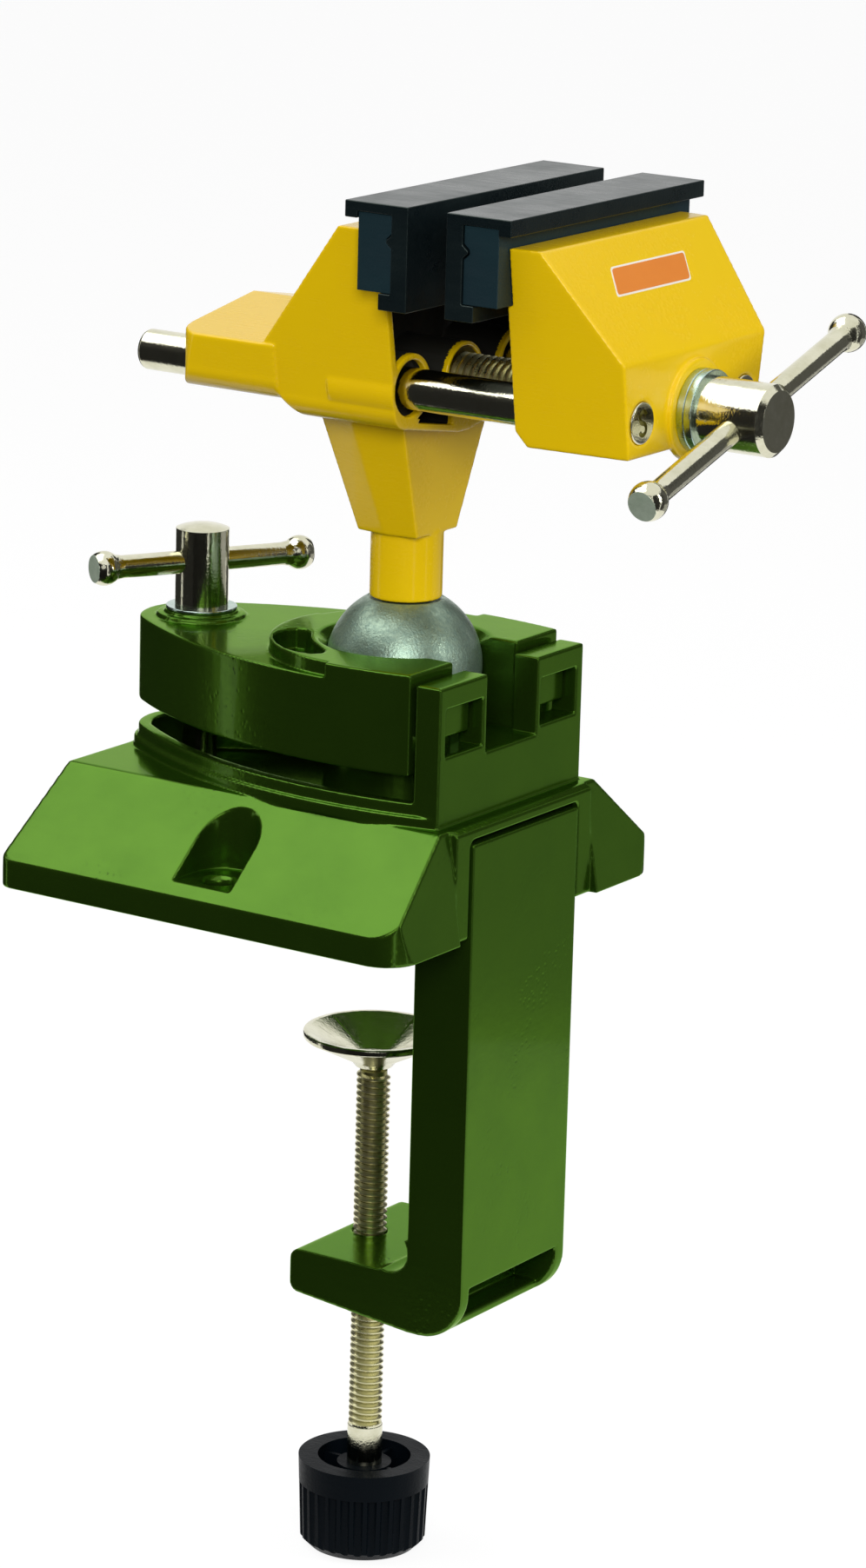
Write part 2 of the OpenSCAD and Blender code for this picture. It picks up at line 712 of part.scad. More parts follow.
module base_casting() color("#3d6b1f") {
    difference() {
        union() {
            difference() {
                skirt_outer();
                skirt_hollow();
            }
            base_ribs();
            intersection() {
                union() for (side = [-1, 1]) pocket_body(side);
                skirt_outer();
            }
            // The boat's floor, its rim and the ledge round its foot.
            translate([0, 0, plateau_z - joint_lap]) linear_extrude(boat_ledge_h + joint_lap)
                boat_plan(boat_ledge, block_front);
            translate([0, 0, plateau_z]) linear_extrude(boat_rim_z - plateau_z) boat_plan(0,
                block_back + joint_lap);
            // The nut's boss under the clamp screw.
            translate([-clamp_x, 0, skirt_rim_h]) cylinder(r = boat_tip_r - over,
                h = boat_floor_z - skirt_rim_h);
            // The frame round the bracket, up to the plateau.
            intersection() {
                translate([seat_back - base_wall, -frame_half, 0])
                    cube([frame_front - seat_back + base_wall, 2 * frame_half, plateau_z]);
                along_y(-frame_half, frame_half) polygon([
                    [seat_back - base_wall, 0], [frame_front, 0], [frame_front,
                        plateau_z - base_front_lean / 4],
                    [plateau_front, plateau_z], [seat_back - base_wall, plateau_z]
                ]);
            }
        }
        // Room inside the rim, less deep over the bracket's seat.
        translate([0, 0, boat_floor_z]) linear_extrude(boat_rim_z) boat_plan(-boat_wall,
            seat_back - base_rib);
        translate([0, 0, plateau_z]) linear_extrude(boat_rim_z) boat_plan(-boat_wall, block_back);
        for (side = [-1, 1]) pocket_cut(side);
        // The frame's face stands behind the foot of the skirt's front.
        translate([frame_front, -frame_half, -over]) cube([base_front, 2 * frame_half, plateau_z]);
        // The bracket's seat, open at the front and below.
        translate([0, 0, -over]) along_x(seat_back, base_front + over)
            union() {
                translate([-seat_half, 0]) square([2 * seat_half, frame_open_z + over - frame_open_r]);
                round_rect(-seat_half, 0, seat_half, frame_open_z + over, frame_open_r);
            }
        for (side = [-1, 1]) {
            rod_x(seat_back - 2 * base_wall, seat_back + over, bracket_bolt_d + 2 * seat_clear,
                side * bracket_bolt_y, bracket_bolt_z);
            rod_x(bolt_head_x - bracket_bolt_head_h, seat_back - base_wall,
                bracket_bolt_head_d + 4 * seat_clear,
                side * bracket_bolt_y, bracket_bolt_z);
        }
        // The nut's pocket, open below, and the shank's hole.
        translate([-clamp_x, 0, -over]) cylinder(d = (clamp_nut_af + fit_gap) / cos(full_turn / hex_sides
            / 2),
            h = clamp_nut_z + clamp_nut_h + over, $fn = hex_sides);
        translate([-clamp_x, 0, 0]) cylinder(d = clamp_shank_d + 2 * bar_clear, h = plateau_z);
    }
    difference() {
        union() {
            cup_body();
            lug_block();
        }
        translate([0, 0, ball_z]) sphere(r = ball_bore_r);
        // The seat ring's recess, with a relief below it.
        translate([0, 0, seat_ring_z0]) cylinder(r = seat_ring_r + rod_clear, h = notch_z);
        translate([0, 0, boat_floor_z + base_wall]) cylinder(r = seat_ring_in_r, h = notch_z);
    }
}

// A ring under the ball. It turns in the cup, and the ball tilts in it.
module ball_seat() color("#b08a3e") difference() {
    translate([0, 0, seat_ring_z0]) cylinder(r = seat_ring_r, h = seat_ring_h);
    translate([0, 0, seat_ring_z0 - over]) cylinder(r = seat_ring_in_r, h = seat_ring_h + 2 * over);
    translate([0, 0, ball_z]) sphere(r = ball_bore_r);
}

// Bracket.

// The bracket from the side, as a C that opens towards the back.
module bracket_side() {
    difference() {
        union() {
            translate([bracket_back, foot_z0 + bracket_corner_r])
                square([bracket_depth, bracket_top_z - foot_z0 - bracket_corner_r]);
            polygon([
                [foot_back + foot_tip_r, tip_z0], [bracket_back, foot_z0],
                    [bracket_front - bracket_corner_r, foot_z0],
                [bracket_front - bracket_corner_r, foot_z1], [foot_back + foot_tip_r, foot_z1]
            ]);
            translate([foot_back, tip_z0 + foot_tip_r]) square([2 * foot_tip_r,
                foot_z1 - tip_z0 - 2 * foot_tip_r]);
            for (z = [tip_z0 + foot_tip_r, foot_z1 - foot_tip_r]) translate([foot_back + foot_tip_r, z])
                circle(r = foot_tip_r, $fn = small_fn);
            translate([bracket_front - bracket_corner_r, foot_z0 + bracket_corner_r])
                circle(r = bracket_corner_r);
            translate([bracket_back - bracket_fillet_r, foot_z1 - joint_lap])
                square([bracket_fillet_r + joint_lap, bracket_fillet_r + joint_lap]);
        }
        translate([bracket_back - bracket_fillet_r, foot_z1 + bracket_fillet_r])
            circle(r = bracket_fillet_r);
    }
}

// The same outline, wall by wall smaller, for the channel between the cheeks.
module bracket_channel() {
    // Column: open to the back, closed by the panel in front.
    translate([bracket_back - over, foot_z1 + bracket_fillet_r])
        square([bracket_depth - bracket_wall + over, bracket_bolt_z - bracket_bolt_head_d - foot_z1 -
            bracket_fillet_r]);
    // Corner: open to the front between the panel's lower edge and the foot's web.
    translate([bracket_back + bracket_wall, foot_z0 + bracket_wall])
        square([bracket_depth, panel_z0 - foot_z0 - bracket_wall]);
    translate([bracket_back + bracket_wall, panel_z0 - joint_lap])
        square([bracket_depth - 2 * bracket_wall, bracket_fillet_r + foot_z1 - panel_z0 + 2 * joint_lap]);
}

module clamp_bracket() color("#42702a") {
    cheek_in = bracket_half - bracket_wall;
    boss_r = bracket_bolt_head_d * 0.55;
    difference() {
        along_y(-bracket_half, bracket_half) bracket_side();
        along_y(-cheek_in, cheek_in) bracket_channel();
        // The foot's web ends short of the corner, so a slot stays open under the panel.
        translate([bracket_front - bracket_wall - base_rib / 2, -cheek_in, foot_z0 - over])
            cube([bracket_wall + base_rib, 2 * cheek_in, panel_z0 - foot_z0 + over]);
        // The foot is hollow from below, round the screw's boss.
        difference() {
            translate([foot_back + bracket_wall, -cheek_in, foot_z0 - over])
                cube([bracket_back - foot_back - 2 * bracket_wall, 2 * cheek_in,
                    foot_z1 - foot_z0 - bracket_wall + over]);
            translate([-table_screw_x, 0, foot_z0]) cylinder(d = 2 * table_screw_d, h = foot_z1 - foot_z0);
            for (side = [-1, 1]) translate([foot_back, side * cheek_in / 2 - base_rib / 2, foot_z0])
                cube([bracket_back - foot_back, base_rib, foot_z1 - foot_z0]);
        }
        translate([-table_screw_x, 0, foot_z0 - over])
            cylinder(d = table_screw_d + 2 * table_screw_clear, h = foot_z1 - foot_z0 + 2 * over);
        // Threaded holes for the two bolts, blind in the block behind the panel.
        for (side = [-1, 1]) rod_x(bracket_back - over, bolt_end_x + over / 2,
            bracket_bolt_d + 2 * bar_clear,
            side * bracket_bolt_y, bracket_bolt_z);
    }
}

module bracket_bolt(side) {
    difference() {
        rod_x(bolt_head_x, bolt_head_x + bracket_bolt_head_h, bracket_bolt_head_d, side * bracket_bolt_y,
            bracket_bolt_z);
        translate([bolt_head_x - over, side * bracket_bolt_y, bracket_bolt_z]) rotate([0, quarter_turn, 0])
            cylinder(d = bracket_bolt_head_d / 2, h = bracket_bolt_head_h * 0.6 + over, $fn = hex_sides);
    }
    rod_x(bolt_head_x + bracket_bolt_head_h - joint_lap, bolt_end_x, bracket_bolt_d,
        side * bracket_bolt_y, bracket_bolt_z);
}

module bracket_bolt_near() color("#9aa0a2") bracket_bolt(-1);
module bracket_bolt_far() color("#9aa0a2") bracket_bolt(1);

// Clamping plate.

// The raised part of the plate: a disc round the ball, and the arms in front of it.
module raised_plan() {
    intersection() {
        boat_plan(0, plate_front);
        union() {
            circle(r = raised_r);
            translate([0, -boat_r]) square([boat_r, 2 * boat_r]);
        }
    }
}

module top_plate() color("#3d6b1f") {
    ring_r = ball_bore_r + plate_wall;
    difference() {
        union() {
            // Shell: sides and top, open below.
            difference() {
                union() {
                    translate([0, 0, plate_z0]) linear_extrude(plate_z1 - plate_z0) boat_plan(0,
                        plate_front);
                    translate([0, 0, plate_z1 - joint_lap]) linear_extrude(plate_z2 - plate_z1 +
                        joint_lap) raised_plan();
                }
                translate([0, 0, plate_z0 - over]) linear_extrude(plate_z1 - plate_top_t - plate_z0 + over)
                    boat_plan(-plate_wall, plate_front - plate_wall);
            }
            // Ring round the ball, sleeve round the screw, walls beside the slot and a rib between them.
            translate([0, 0, plate_z0]) cylinder(r = ring_r, h = plate_z1 - plate_z0);
            translate([-clamp_x, 0, plate_z0]) cylinder(d = clamp_shank_d + 2 * plate_wall,
                h = plate_z1 - plate_z0);
            translate([-clamp_x, 0, plate_z1 - joint_lap]) cylinder(d = clamp_boss_d,
                h = clamp_boss_h + joint_lap);
            translate([-clamp_x, -plate_wall / 2, plate_z0 + plate_wall]) cube([clamp_x, plate_wall,
                plate_z1 - plate_z0 - plate_wall]);
            translate([0, -arm_slot_half - plate_wall, plate_z0])
                cube([plate_front, 2 * (arm_slot_half + plate_wall), plate_z1 - plate_z0]);
            // Tabs that hook under the heads of the lug windows.
            for (side = [-1, 1]) {
                tab_w = window_out - window_in - 2 * tab_clear;
                translate([plate_front - plate_wall, side > 0 ? window_in + tab_clear : -window_out +
                    tab_clear,
                        window_head_z - tab_clear / 2 - tab_h])
                    cube([block_front - tab_recess - plate_front + plate_wall, tab_w, tab_h]);
            }
        }
        // Ball hole: straight below the ball's middle, spherical above it, flared at the rim.
        translate([0, 0, plate_z0 - over]) cylinder(r = ball_bore_r + fit_gap,
            h = ball_z - plate_z0 + over);
        translate([0, 0, ball_z]) sphere(r = ball_bore_r);
        translate([0, 0, seat_top_z - over])
            cylinder(r1 = seat_top_r - over * flare_slope, r2 = flare_r + over * flare_slope,
                h = flare_h + 2 * over);
        translate([0, -arm_slot_half, plate_z0 - over]) cube([boat_r, 2 * arm_slot_half,
            plate_z2 - plate_z0 + 2 * over]);
        translate([-clamp_x, 0, plate_z0 - over]) cylinder(d = clamp_shank_d + 4 * fit_gap, h = plate_z2);
    }
}

// Ball clamp screw.

module clamp_spindle() color("#c9c9c4") translate([-clamp_x, 0, 0]) {
    difference() {
        union() {
            translate([0, 0, clamp_head_z0]) cylinder(d = clamp_head_d,
                h = clamp_head_z - clamp_dome_h - clamp_head_z0);
            // The dome is the cap of a sphere through the head's edge.
            intersection() {
                dome_r = (clamp_head_d * clamp_head_d / 4 + clamp_dome_h * clamp_dome_h) / (2 *
                    clamp_dome_h);
                translate([0, 0, clamp_head_z - dome_r]) sphere(r = dome_r, $fn = 2 * $fn);
                translate([0, 0, clamp_head_z - 2 * clamp_dome_h]) cylinder(d = clamp_head_d,
                    h = 2 * clamp_dome_h);
            }
        }
        translate([0, 0, clamp_bar_z]) rotate([0, quarter_turn, clamp_bar_angle])
            cylinder(d = clamp_bar_d + 2 * bar_clear, h = 2 * clamp_head_d, center = true);
    }
    translate([0, 0, clamp_shank_z]) cylinder(d = clamp_shank_d,
        h = clamp_head_z0 - clamp_shank_z + joint_lap);
}

module clamp_washer() color("#b9bdb8") translate([-clamp_x, 0, clamp_seat_z]) difference() {
    cylinder(d = clamp_washer_d, h = clamp_washer_t);
    translate([0, 0, -over]) cylinder(d = clamp_shank_d + 2 * bar_clear, h = clamp_washer_t + 2 * over);
}

module clamp_nut() color("#9aa0a2") translate([-clamp_x, 0, clamp_nut_z]) difference() {
    cylinder(d = clamp_nut_af / cos(full_turn / hex_sides / 2), h = clamp_nut_h, $fn = hex_sides);
    translate([0, 0, -over]) cylinder(d = clamp_shank_d + 2 * rod_clear, h = clamp_nut_h + 2 * over);
}

module clamp_bar() color("#c9c9c4") translate([-clamp_x, 0, clamp_bar_z]) rotate([0, 0, clamp_bar_angle])
    handle_bar(clamp_bar_span, clamp_bar_d, clamp_knob_d);

// Ball.

module ball() color("#8f9694") difference() {
    translate([0, 0, ball_z]) sphere(d = ball_d, $fn = 2 * $fn);
    translate([0, 0, neck_foot_z - fit_gap]) cylinder(d = neck_d + 2 * fit_gap, h = ball_r);
    translate([0, 0, spigot_z0]) cylinder(d = spigot_d + 2 * rod_clear, h = ball_d);
    translate([0, 0, 0]) cylinder(d = ball_screw_d + 2 * fit_gap, h = ball_z);
    translate([0, 0, 0]) cylinder(d = ball_screw_head_d + 2 * rod_clear, h = ball_screw_head_z);
}

module ball_screw() color("#6f7472") translate([0, 0, ball_screw_head_z - ball_screw_head_h]) difference() {
    union() {
        cylinder(d = ball_screw_head_d, h = ball_screw_head_h);
        cylinder(d = ball_screw_d, h = ball_z - ball_screw_head_z + ball_screw_head_h + ball_screw_d / 2);
    }
    translate([0, 0, -over]) cylinder(d = ball_screw_d * 0.8, h = ball_screw_head_h * 0.6 + over,
        $fn = hex_sides);
}

// Fixed jaw.

// Cross section of the fixed jaw: sides that lean in, and a shallow keel.
module fixed_section(g) {
    low = fixed_low_half - g;
    corner_z = fixed_side_z0 + fixed_edge_r;
    polygon([
        [-jaw_half + g, jaw_top_z], [-low, corner_z], [-low + fixed_edge_r - g, fixed_side_z0 + g],
        [-keel_half, fixed_keel_z0 + g], [keel_half, fixed_keel_z0 + g], [low - fixed_edge_r + g,
            fixed_side_z0 + g],
        [low, corner_z], [jaw_half - g, jaw_top_z]
    ]);
    for (side = [-1, 1]) translate([side * (low - fixed_edge_r + g), corner_z])
        circle(r = fixed_edge_r - g);
}

module stem() {
    lap = over / 4;
    hull() {
        translate([0, 0, stem_z0]) linear_extrude(lap) polygon([
            [stem_half, -stem_half], [0, -stem_ridge], [-stem_half, -stem_half],
            [-stem_half, stem_half], [0, stem_ridge], [stem_half, stem_half]
        ]);
        translate([0, 0, fixed_keel_z0 + jaw_wall]) linear_extrude(lap) polygon([
            [stem_top_front, -stem_top_half], [stem_top_back / 4, -stem_top_half - over],
            [stem_top_back, -stem_top_half + over], [stem_top_back, stem_top_half - over],
            [stem_top_back / 4, stem_top_half + over], [stem_top_front, stem_top_half]
        ]);
    }
}

// Two pockets in the floor of the hollow, beside the keel, from x0 out to the front face.
module sump_cuts(x0) {
    floor_in = fixed_keel_z0 + keel_slope * (sump_in_y - keel_half) + sump_floor_t;
    floor_out = fixed_keel_z0 + keel_slope * (sump_out_y - keel_half) + sump_floor_t;
    for (side = [0, 1]) mirror([0, side, 0]) along_x(x0, fixed_front + over) polygon([
        [sump_in_y, floor_in], [sump_out_y, floor_out], [sump_out_y - sump_lean, hollow_low_z + joint_lap],
        [sump_in_y, hollow_low_z + joint_lap]
    ]);
}

module fixed_jaw() color("#d0ae12") {
    housing_half = jaw_half - jaw_side_lean_share * (jaw_top_z - housing_eave_z);
    housing_low = jaw_half - jaw_side_lean_share * (jaw_top_z - housing_z0 - fixed_edge_r);
    hollow_back = fixed_front - fixed_hollow;
    difference() {
        union() {
            difference() {
                union() {
                stem();
                intersection() {
                    along_y(-jaw_half, jaw_half) polygon([
                        [fixed_front, fixed_keel_z0], [fixed_front, insert_z0], [fixed_insert_x, insert_z0],
                        [fixed_insert_x, jaw_top_z], [fixed_top_back, jaw_top_z], [fixed_slope_x,
                            housing_eave_z],
                        [fixed_slope_x, housing_z0 + jaw_wall], [fixed_slope_x + jaw_wall,
                            housing_z0 + over],
                        [fixed_slope_x + jaw_wall + housing_z0 + over - fixed_keel_z0, fixed_keel_z0]
                    ]);
                    along_x(fixed_slope_x, fixed_front) fixed_section(0);
                }
                }
                // Hollow front between the insert's seat and the floor.
                intersection() {
                    translate([hollow_back, -jaw_half, hollow_low_z]) cube([fixed_hollow + over,
                        2 * jaw_half, hollow_top_z - hollow_low_z]);
                    along_x(hollow_back - over, fixed_front + 2 * over) fixed_section(fixed_front_wall);
                }
                sump_cuts(hollow_back + over);
            }
            // Housing of the guide rods, under a shallow roof.
            intersection() {
                along_x(housing_back, fixed_slope_x + jaw_wall) union() {
                    polygon([
                        [-housing_low, housing_z0 + fixed_edge_r], [fixed_edge_r - housing_low, housing_z0],
                        [-lead_d, housing_z0], [-lead_d * 0.6, housing_keel_z0], [lead_d * 0.6,
                            housing_keel_z0],
                        [lead_d, housing_z0], [housing_low - fixed_edge_r, housing_z0],
                        [housing_low, housing_z0 + fixed_edge_r],
                        [housing_half, housing_eave_z], [0, housing_ridge_z], [-housing_half,
                            housing_eave_z]
                    ]);
                    for (side = [-1, 1]) translate([side * (housing_low - fixed_edge_r),
                        housing_z0 + fixed_edge_r])
                        circle(r = fixed_edge_r);
                }
                translate([0, 0, housing_z0 - over]) linear_extrude(jaw_top_z - housing_z0)
                    round_rect(housing_back, -housing_half, fixed_front, housing_half, housing_corner_r);
            }
            for (side = [-1, 1]) rod_x(hollow_back - over, fixed_front, rod_boss_d, side * rod_y, drive_z);
            rod_x(hollow_back - over, fixed_front, lead_nut_d + 2 * nut_boss_wall, 0, drive_z);
            // Webs under the insert's seat carry its screws.
            for (side = [-1, 1]) translate([hollow_back - over, side * insert_screw_y - jaw_wall / 2,
                hollow_top_z - 2 * jaw_wall])
                cube([fixed_hollow * 0.7, jaw_wall, 2 * jaw_wall + joint_lap]);
            // Neck and spigot.
            translate([0, 0, neck_foot_z]) cylinder(d = neck_d, h = stem_z0 - neck_foot_z + joint_lap);
            translate([0, 0, spigot_z0 + over / 2]) cylinder(d = spigot_d, h = neck_foot_z - spigot_z0);
        }
        for (side = [-1, 1]) {
            rod_x(housing_back - over, fixed_front + over, rod_d + 2 * rod_clear, side * rod_y, drive_z);
            rod_x(fixed_front - rod_mouth_h, fixed_front + over, rod_mouth_d, side * rod_y, drive_z);
            rod_x(housing_back - over, housing_back + rod_mouth_h / 2, rod_mouth_d, side * rod_y, drive_z);
            rod_x(fixed_insert_x - insert_screw_in, fixed_insert_x + over, insert_screw_d + 2 * bar_clear,
                side * insert_screw_y, insert_mid_z);
        }
        // The nut's bore from the front, and room for the lead screw behind it.
        rod_x(fixed_front - lead_nut_l - over / 4, fixed_front + over, lead_nut_d + 2 * bar_clear, 0,
            drive_z);
        rod_x(housing_back - over, fixed_front, lead_d + 4 * fit_gap, 0, drive_z);
        translate([0, 0, spigot_z0]) cylinder(d = ball_screw_d + 2 * bar_clear,
            h = ball_z + ball_screw_d - spigot_z0);
    }
}

// Jaw inserts, screws and covers, drawn for the fixed side and mirrored for the moving side.

// A steel insert. Its back is at x = 0 and its face looks along +X.
module jaw_insert() {
    difference() {
        along_y(-insert_w / 2, insert_w / 2) polygon([
            [0, insert_z0], [insert_t, insert_z0], [insert_t,
                insert_z0 + insert_groove_z - 1.2 * insert_groove],
            [insert_t - insert_groove, insert_z0 + insert_groove_z - 0.3 * insert_groove],
            [insert_t - insert_groove, insert_z0 + insert_groove_z + 0.3 * insert_groove],
            [insert_t, insert_z0 + insert_groove_z + 1.2 * insert_groove], [insert_t, insert_z1], [0,
                insert_z1]
        ]);
        for (side = [-1, 1]) {
            rod_x(-over, insert_t + over, insert_screw_d + 2 * fit_gap, side * insert_screw_y,
                insert_mid_z);
            rod_x(insert_head_x, insert_t + over, insert_screw_head_d + 2 * fit_gap,
                side * insert_screw_y, insert_mid_z);
        }
    }
}

module insert_screw(side) {
    y = side * insert_screw_y;
    difference() {
        rod_x(insert_head_x, insert_head_x + insert_screw_head_h, insert_screw_head_d, y, insert_mid_z);
        translate([insert_head_x + insert_screw_head_h * 0.4, y, insert_mid_z]) rotate([0, quarter_turn, 0])
            cylinder(d = insert_screw_head_d / 2, h = insert_screw_head_h, $fn = hex_sides);
    }
    rod_x(insert_head_x + joint_lap - insert_screw_l, insert_head_x + joint_lap, insert_screw_d, y,
        insert_mid_z);
}

// A soft cover that clips over the insert: lip, front plate with a bead for the groove, and foot.
module jaw_cover() {
    front = insert_t + cover_front_t;
    top = insert_z1 + cover_top_t;
    in_x = insert_t + cover_play;
    bead = insert_groove - cover_play;
    along_y(-cover_w / 2, cover_w / 2) polygon([
        [-cover_lip, insert_z1 + cover_play - cover_lip_drop], [-cover_play,
            insert_z1 + cover_play - cover_lip_drop],
        [-cover_play, insert_z1 + cover_play], [in_x, insert_z1 + cover_play],
        [in_x, insert_z0 + insert_groove_z + bead], [in_x - bead, insert_z0 + insert_groove_z + 0.2 * bead],
        [in_x - bead, insert_z0 + insert_groove_z - 0.2 * bead], [in_x, insert_z0 + insert_groove_z - bead],
        [in_x, insert_z0 - cover_play], [in_x - cover_foot_back, insert_z0 - cover_play],
        [in_x - cover_foot_back, insert_z0 - cover_foot_h], [front, insert_z0 - cover_foot_h], [front,
            top], [-cover_lip, top]
    ]);
}

module fixed_insert() color("#3d4a55") translate([fixed_insert_x, 0, 0]) jaw_insert();
module fixed_insert_screw_near() color("#6f7472") translate([fixed_insert_x, 0, 0]) insert_screw(-1);
module fixed_insert_screw_far() color("#6f7472") translate([fixed_insert_x, 0, 0]) insert_screw(1);
module fixed_cover() color("#22282b") translate([fixed_insert_x, 0, 0]) jaw_cover();
module moving_insert() color("#3d4a55") translate([moving_insert_x, 0, 0]) mirror([1, 0, 0]) jaw_insert();
module moving_insert_screw_near() color("#6f7472") translate([moving_insert_x, 0, 0]) mirror([1, 0, 0])
    insert_screw(-1);
module moving_insert_screw_far() color("#6f7472") translate([moving_insert_x, 0, 0]) mirror([1, 0, 0])
    insert_screw(1);
module moving_cover() color("#22282b") translate([moving_insert_x, 0, 0]) mirror([1, 0, 0]) jaw_cover();

// Moving jaw.

module moving_side(g) {
    polygon([
        [moving_rear - 2 * g, moving_z0 + moving_chamfer * 1.1], [moving_rear - 2 * g, insert_z0 - g],
            [moving_insert_x, insert_z0 - g],
        [moving_insert_x, jaw_top_z - g], [moving_insert_x + moving_top_l - g / 2, jaw_top_z - g],
        [moving_front - g, moving_slope_z - g / 2], [moving_front - g, moving_z0 + g],
        [moving_rear + moving_chamfer * 0.9, moving_z0 + g]
    ]);
}

// Keeps what lies between the two leaning side planes, which meet the top at the jaw's half width, less g.
module between_sides(g) {
    big = 2 * jaw_half;
    intersection_for(side = [-1, 1]) translate([moving_insert_x, side * (jaw_half - g), jaw_top_z])
        rotate([-side * jaw_lean_angle, 0, -side * jaw_turn_angle])
            translate([-big, side > 0 ? -2 * big : 0, -2 * big]) cube([3 * big, 2 * big, 3 * big]);
}

module moving_jaw() color("#d0ae12") {
    inner_front = moving_front - moving_front_t;
    boss_back = moving_rear + 2 * jaw_wall;
    difference() {
        union() {
            difference() {
                intersection() {
                    along_y(-jaw_half, jaw_half) moving_side(0);
                    between_sides(0);
                }
                // Hollow from the back, below the insert's seat.
                intersection() {
                    along_y(-jaw_half, jaw_half) polygon([
                        [moving_rear - over, moving_z0 + moving_floor_t], [moving_rear - over,
                            insert_z0 - jaw_wall],
                        [moving_insert_x + moving_top_l / 2, insert_z0 - jaw_wall],
                        [moving_front - 2 * jaw_wall, moving_slope_z - jaw_wall / 2], [inner_front,
                            moving_slope_z - 2 * jaw_wall],
                        [inner_front, moving_z0 + moving_floor_t]
                    ]);
                    between_sides(jaw_wall);
                }
            }
            intersection() {
                union() for (side = [-1, 1]) rod_x(boss_back, inner_front + over, rod_boss_d,
                    side * rod_y, drive_z);
                between_sides(fit_gap);
            }
            rod_x(clip_x + clip_t + fit_gap / 2, inner_front + over, clip_d + jaw_wall, 0, drive_z);
            rod_x(moving_front - over, spindle_seat_x, spindle_seat_d, 0, drive_z);
        }
        for (side = [-1, 1]) {
            rod_x(moving_rear - over, moving_front + over, rod_d, side * rod_y, drive_z);
            rod_x(moving_insert_x - over, moving_insert_x + insert_screw_in, insert_screw_d + 2 * bar_clear,
                side * insert_screw_y, insert_mid_z);
        }
        rod_x(clip_x - over, spindle_seat_x + over, lead_d + 2 * lead_clear, 0, drive_z);
        rod_x(clip_x - over, clip_x + clip_t + fit_gap / 2, clip_d + 2 * fit_gap, 0, drive_z);
    }
}

module guide_rod(side) {
    tip = rod_d / 12;
    translate([rod_back, side * rod_y, drive_z]) rotate([0, quarter_turn, 0]) {
        cylinder(d1 = rod_d - 2 * tip, d2 = rod_d, h = tip);
        translate([0, 0, tip]) cylinder(d = rod_d, h = rod_front - rod_back - tip);
    }
}

module guide_rod_near() color("#c9c9c4") guide_rod(-1);
module guide_rod_far() color("#c9c9c4") guide_rod(1);

// Lead screw.

module lead_nut() color("#b08a3e") difference() {
    rod_x(fixed_front - lead_nut_l, fixed_front - over / 2, lead_nut_d, 0, drive_z);
    rod_x(fixed_front - lead_nut_l - over, fixed_front + over, lead_d + 2 * rod_clear, 0, drive_z);
}

module lead_screw() color("#c9c9c4") {
    difference() {
        translate([lead_head_x, 0, drive_z]) rotate([0, quarter_turn, 0]) {
            cylinder(d = lead_head_d, h = lead_head_l - lead_head_chamfer);
            translate([0, 0, lead_head_l - lead_head_chamfer])
                cylinder(d1 = lead_head_d, d2 = lead_head_d - 2 * lead_head_chamfer, h = lead_head_chamfer);
        }
        translate([spindle_bar_x, 0, drive_z]) rotate([quarter_turn + spindle_bar_angle, 0, 0])
            cylinder(d = spindle_bar_d + 2 * bar_clear, h = 2 * lead_head_d, center = true);
    }
    difference() {
        rod_x(lead_back, lead_head_x + joint_lap, lead_d, 0, drive_z);
        difference() {
            rod_x(clip_x - fit_gap / 4, clip_x + clip_t + fit_gap / 4, lead_d + over, 0, drive_z);
            rod_x(clip_x - over, clip_x + clip_t + over, clip_groove_d, 0, drive_z);
        }
    }
}

module spindle_clip() color("#6f7472") difference() {
    rod_x(clip_x, clip_x + clip_t, clip_d, 0, drive_z);
    rod_x(clip_x - over, clip_x + clip_t + over, clip_groove_d + 2 * rod_clear, 0, drive_z);
    // The ring is open on one side, so that it goes on from there.
    translate([clip_x - over, -clip_groove_d * 0.4, drive_z - clip_d]) cube([clip_t + 2 * over,
        clip_groove_d * 0.8, clip_d]);
}

module spindle_washer(x) {
    difference() {
        rod_x(x, x + spindle_washer_t, spindle_washer_d, 0, drive_z);
        rod_x(x - over, x + spindle_washer_t + over, lead_d + 2 * lead_clear, 0, drive_z);
    }
}

module spindle_washer_inner() color("#8fa68c") spindle_washer(washer_one_x);
module spindle_washer_outer() color("#b9bdb8") spindle_washer(washer_two_x);

module spindle_bar() color("#c9c9c4") translate([spindle_bar_x, 0, drive_z]) rotate([0, 0, quarter_turn])
    rotate([0, -spindle_bar_angle, 0]) translate([spindle_bar_shift, 0, 0]) handle_bar(spindle_bar_span,
        spindle_bar_d, spindle_knob_d);

// Table clamp.

module table_screw() color("#c9c9c4") translate([-table_screw_x, 0, 0]) {
    translate([0, 0, table_collar_z]) cylinder(d = table_screw_d, h = table_screw_top_z - table_collar_z);
    translate([0, 0, knob_top_z - knob_hub_drop]) cylinder(d = table_collar_d,
        h = table_collar_z - knob_top_z + knob_hub_drop);
    translate([0, 0, knob_z0 + 2 * knob_chamfer])
        cylinder(d = knob_stem_d, h = knob_top_z - knob_z0 - 2 * knob_chamfer);
    // The tip goes through the pad's hub and is peened over inside the dish.
    translate([0, 0, table_screw_top_z - joint_lap]) cylinder(d = pad_tip_d,
        h = pad_hub_z - table_screw_top_z + 2 * joint_lap);
    translate([0, 0, pad_hub_z + fit_gap]) cylinder(d1 = pad_tip_d * 1.5, d2 = pad_tip_d * 0.6, h = pad_t);
}

